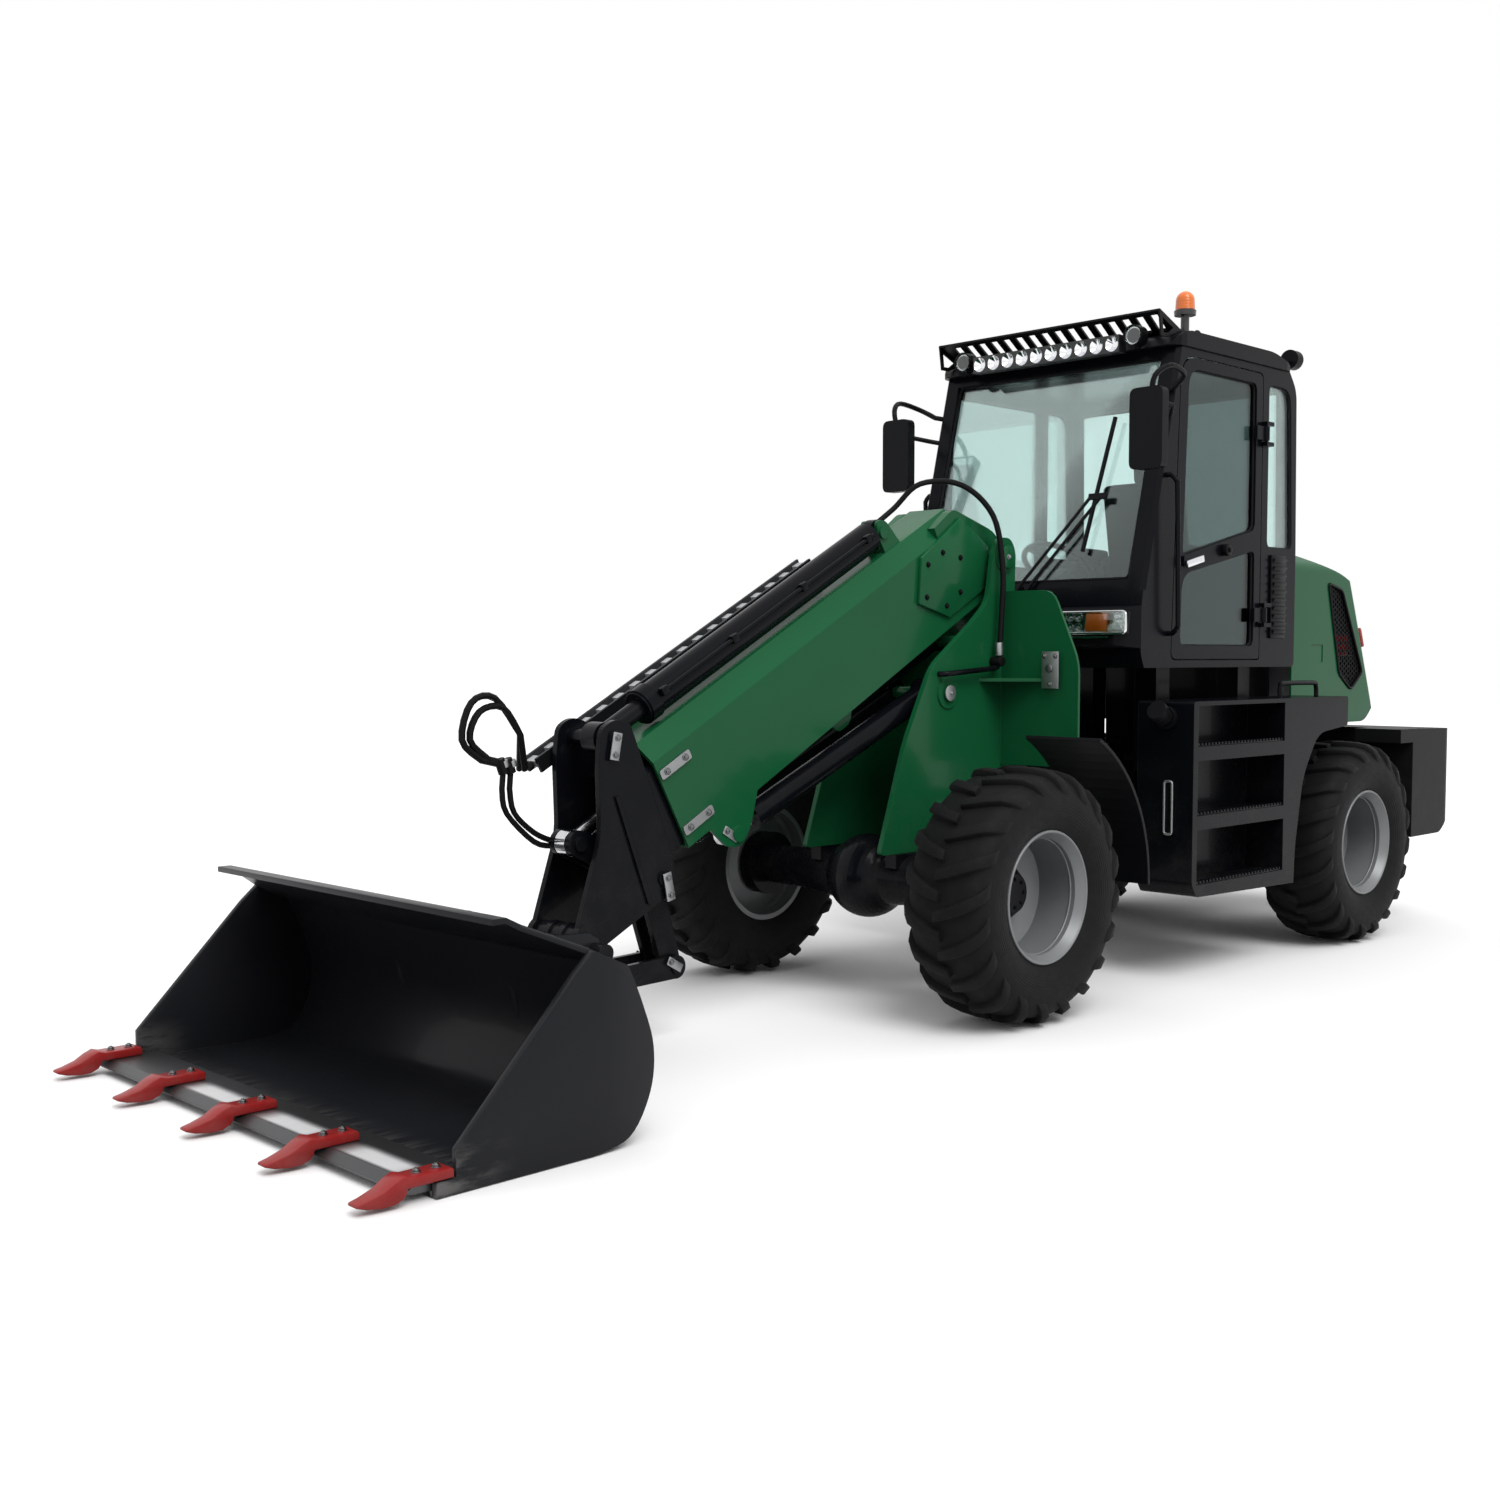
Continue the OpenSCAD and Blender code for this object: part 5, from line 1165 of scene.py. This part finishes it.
def rolled_sheet(stations, wall):
    deselect()
    bpy.ops.mesh.primitive_plane_add(size=2, location=(0, 0, 0))
    piece = bpy.context.object
    bpy.ops.object.mode_set(mode="EDIT")
    bpy.ops.mesh.select_mode(type="VERT")
    bpy.ops.mesh.select_all(action="DESELECT")
    bpy.ops.object.mode_set(mode="OBJECT")
    for vertex in piece.data.vertices:
        vertex.select = vertex.co.x > 0
    bpy.ops.object.mode_set(mode="EDIT")
    bpy.ops.mesh.delete(type="VERT")
    bpy.ops.mesh.select_all(action="SELECT")
    here, width = coupler_pin + Vector((stations[0][0], 0, stations[0][1])), stations[0][2]
    bpy.ops.transform.resize(value=(1, width, 1), center_override=(0, 0, 0))
    bpy.ops.transform.translate(value=here + Vector((1, 0, 0)))
    for x, z, half in stations[1:]:
        there = coupler_pin + Vector((x, 0, z))
        bpy.ops.mesh.extrude_edges_move(TRANSFORM_OT_translate={"value": there - here})
        bpy.ops.transform.resize(value=(1, half / width, 1), center_override=(0, 0, 0))
        here, width = there, half
    bpy.ops.object.mode_set(mode="OBJECT")
    if piece.data.polygons[0].normal.z > 0:
        piece.data.flip_normals()
    thick = piece.modifiers.new("wall", "SOLIDIFY")
    thick.thickness = wall
    thick.use_even_offset = True
    bpy.ops.object.modifier_apply(modifier="wall")
    return soften(piece, 0.002)


# %% Shell, end plates and hooks
roll = [tuple(p) for p in smooth_line(ROLL, 6)]
inner_half = BUCKET_HALF - SIDE_WALL
stations = [(1.247, FLOOR, inner_half)] + [(x, z, inner_half) for x, z in roll] + [
    (0.684, 0.169, inner_half), (0.830, 0.241, 0.860), (0.880, 0.266, 0.860), (0.930, 0.266, 0.860)]
shell = rolled_sheet(stations, SHEET_WALL)
end_outline = [(1.247, FLOOR)] + roll + [(0.690, 0.166), (0.760, 0.104), (1.180, -0.331), (1.180, -0.410),
                                         (1.247, -0.410)]
hook_outline = [(0.125, -0.016), (0.120, 0.036), (0.128, 0.052), (0.170, 0.076), (0.540, 0.092), (0.466, -0.190),
                (0.462, -0.250), (0.430, -0.246), (0.318, -0.210), (0.310, -0.196), (0.308, -0.116),
                (0.294, -0.100), (0.194, -0.038)]
plates = [cut_plate([coupler_pin + Vector((x, 0, z)) for x, z in outline], side * y_in, side * y_out)
          for side in (1, -1)
          for outline, y_in, y_out in ((end_outline, inner_half, BUCKET_HALF), (hook_outline, 0.340, 0.365))]
bucket = hand_over(joined([shell] + plates), "bucket_shell", bucket_black, "bucket")
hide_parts("bucket")
print("bucket", [round(v, 3) for v in bucket.dimensions], len(bucket.data.polygons), "faces")


# %% [markdown]
# ## The hose that crosses the boom's pivot
# One hose leaves the top of the boom, arches over and ends at a fitting on the tower. It has to bend when the
# boom lifts, so it is a tube of its own; here it is baked where it lies and rides on neither body, while
# its stub rides on the boom and its fitting on the tower.

# %% Arch hose
HOSE_THICK = 0.013
arch_start = on_boom(0.5, 0.380, -0.07)
arch = smooth_line([arch_start, arch_start + Vector((-0.150, 0.030, 0.110)), at(-0.290, 0.040, 2.265),
                    at(-0.460, 0.140, 2.265), at(-0.575, 0.230, 2.130), at(-0.600, 0.268, 1.900),
                    at(-0.590, 0.272, 1.680), at(-0.575, 0.270, 1.470)], 6)
arch_hose = finished(tube(arch, HOSE_THICK, "arch_hose", False), "arch_hose", hose, 60)
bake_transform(arch_hose)
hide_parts("boom_hoses")
stub = drum(0.024, 0.072, on_boom(0.5, 0.3563, -0.07), (math.sin(DIP), 0, math.cos(DIP)), 0.004)
hand_over(stub, "arch_stub", hose, "outer_boom")
foot = drum(0.022, 0.062, at(-0.575, 0.2613, 1.470), (0, 1, 0), 0.004)
hand_over(foot, "arch_fitting", hose, "front_frame")
print("arch hose, metres:", round(sum((b - a).length for a, b in zip(arch, arch[1:])), 2))


# %% [markdown]
# ## Studio
# The machine stands on a plain pale floor under an even sky, as in the photo. A large soft lamp from the
# upper front gives the shapes a light and a shaded side. The white behind comes from the world
# only where the camera, a mirror or a pane looks at it.

# %% What looks at the studio
def seen_by(sheet):
    rays = sheet.node("LightPath").socket.node.outputs
    camera_ray, mirror_ray, pane_ray = [Shade(sheet.tree, rays[name]) for name in
                                        ("Is Camera Ray", "Is Glossy Ray", "Is Transmission Ray")]
    return (camera_ray + mirror_ray + pane_ray).step(0.0, 0.5)


# %% Floor
deselect()
bpy.ops.mesh.primitive_plane_add(size=90, location=(0, 0, -0.002))
floor = bpy.context.object
floor.name = "floor"
f = Finish("pale_floor")
f.feed(Base_Color=seen_by(f.sheet).mixed((0.30, 0.30, 0.295), (0.93, 0.93, 0.93)), Roughness=0.9,
       Specular_IOR_Level=0.0)
floor.data.materials.append(f.material)
print("floor of", [round(v) for v in floor.dimensions[:2]], "metres")


# %% Sky and lamp
world = bpy.data.worlds.new("sky")
scene.world = world
world.use_nodes = True
sky = Shade(world.node_tree)
up = sky.node("SeparateXYZ", {0: sky.node("TexCoord", out=0)}, out=2)
level = up.step(-0.1, 0.95) * 0.75 + 0.35
shine = sky.node("Mix", {0: seen_by(sky), 2: level, 3: 1.0}, out=0, data_type="FLOAT")
background = world.node_tree.nodes["Background"]
background.inputs["Color"].default_value = (1.0, 1.0, 1.0, 1)
world.node_tree.links.new(shine.socket, background.inputs["Strength"])
lamp_data = bpy.data.lights.new("soft_sun", "SUN")
lamp_data.energy = 1.6
lamp_data.angle = math.radians(35)
lamp = bpy.data.objects.new("soft_sun", lamp_data)
lamp.rotation_euler = (math.radians(38), math.radians(8), math.radians(150))
scene.collection.objects.link(lamp)
print("sun at", lamp_data.energy)
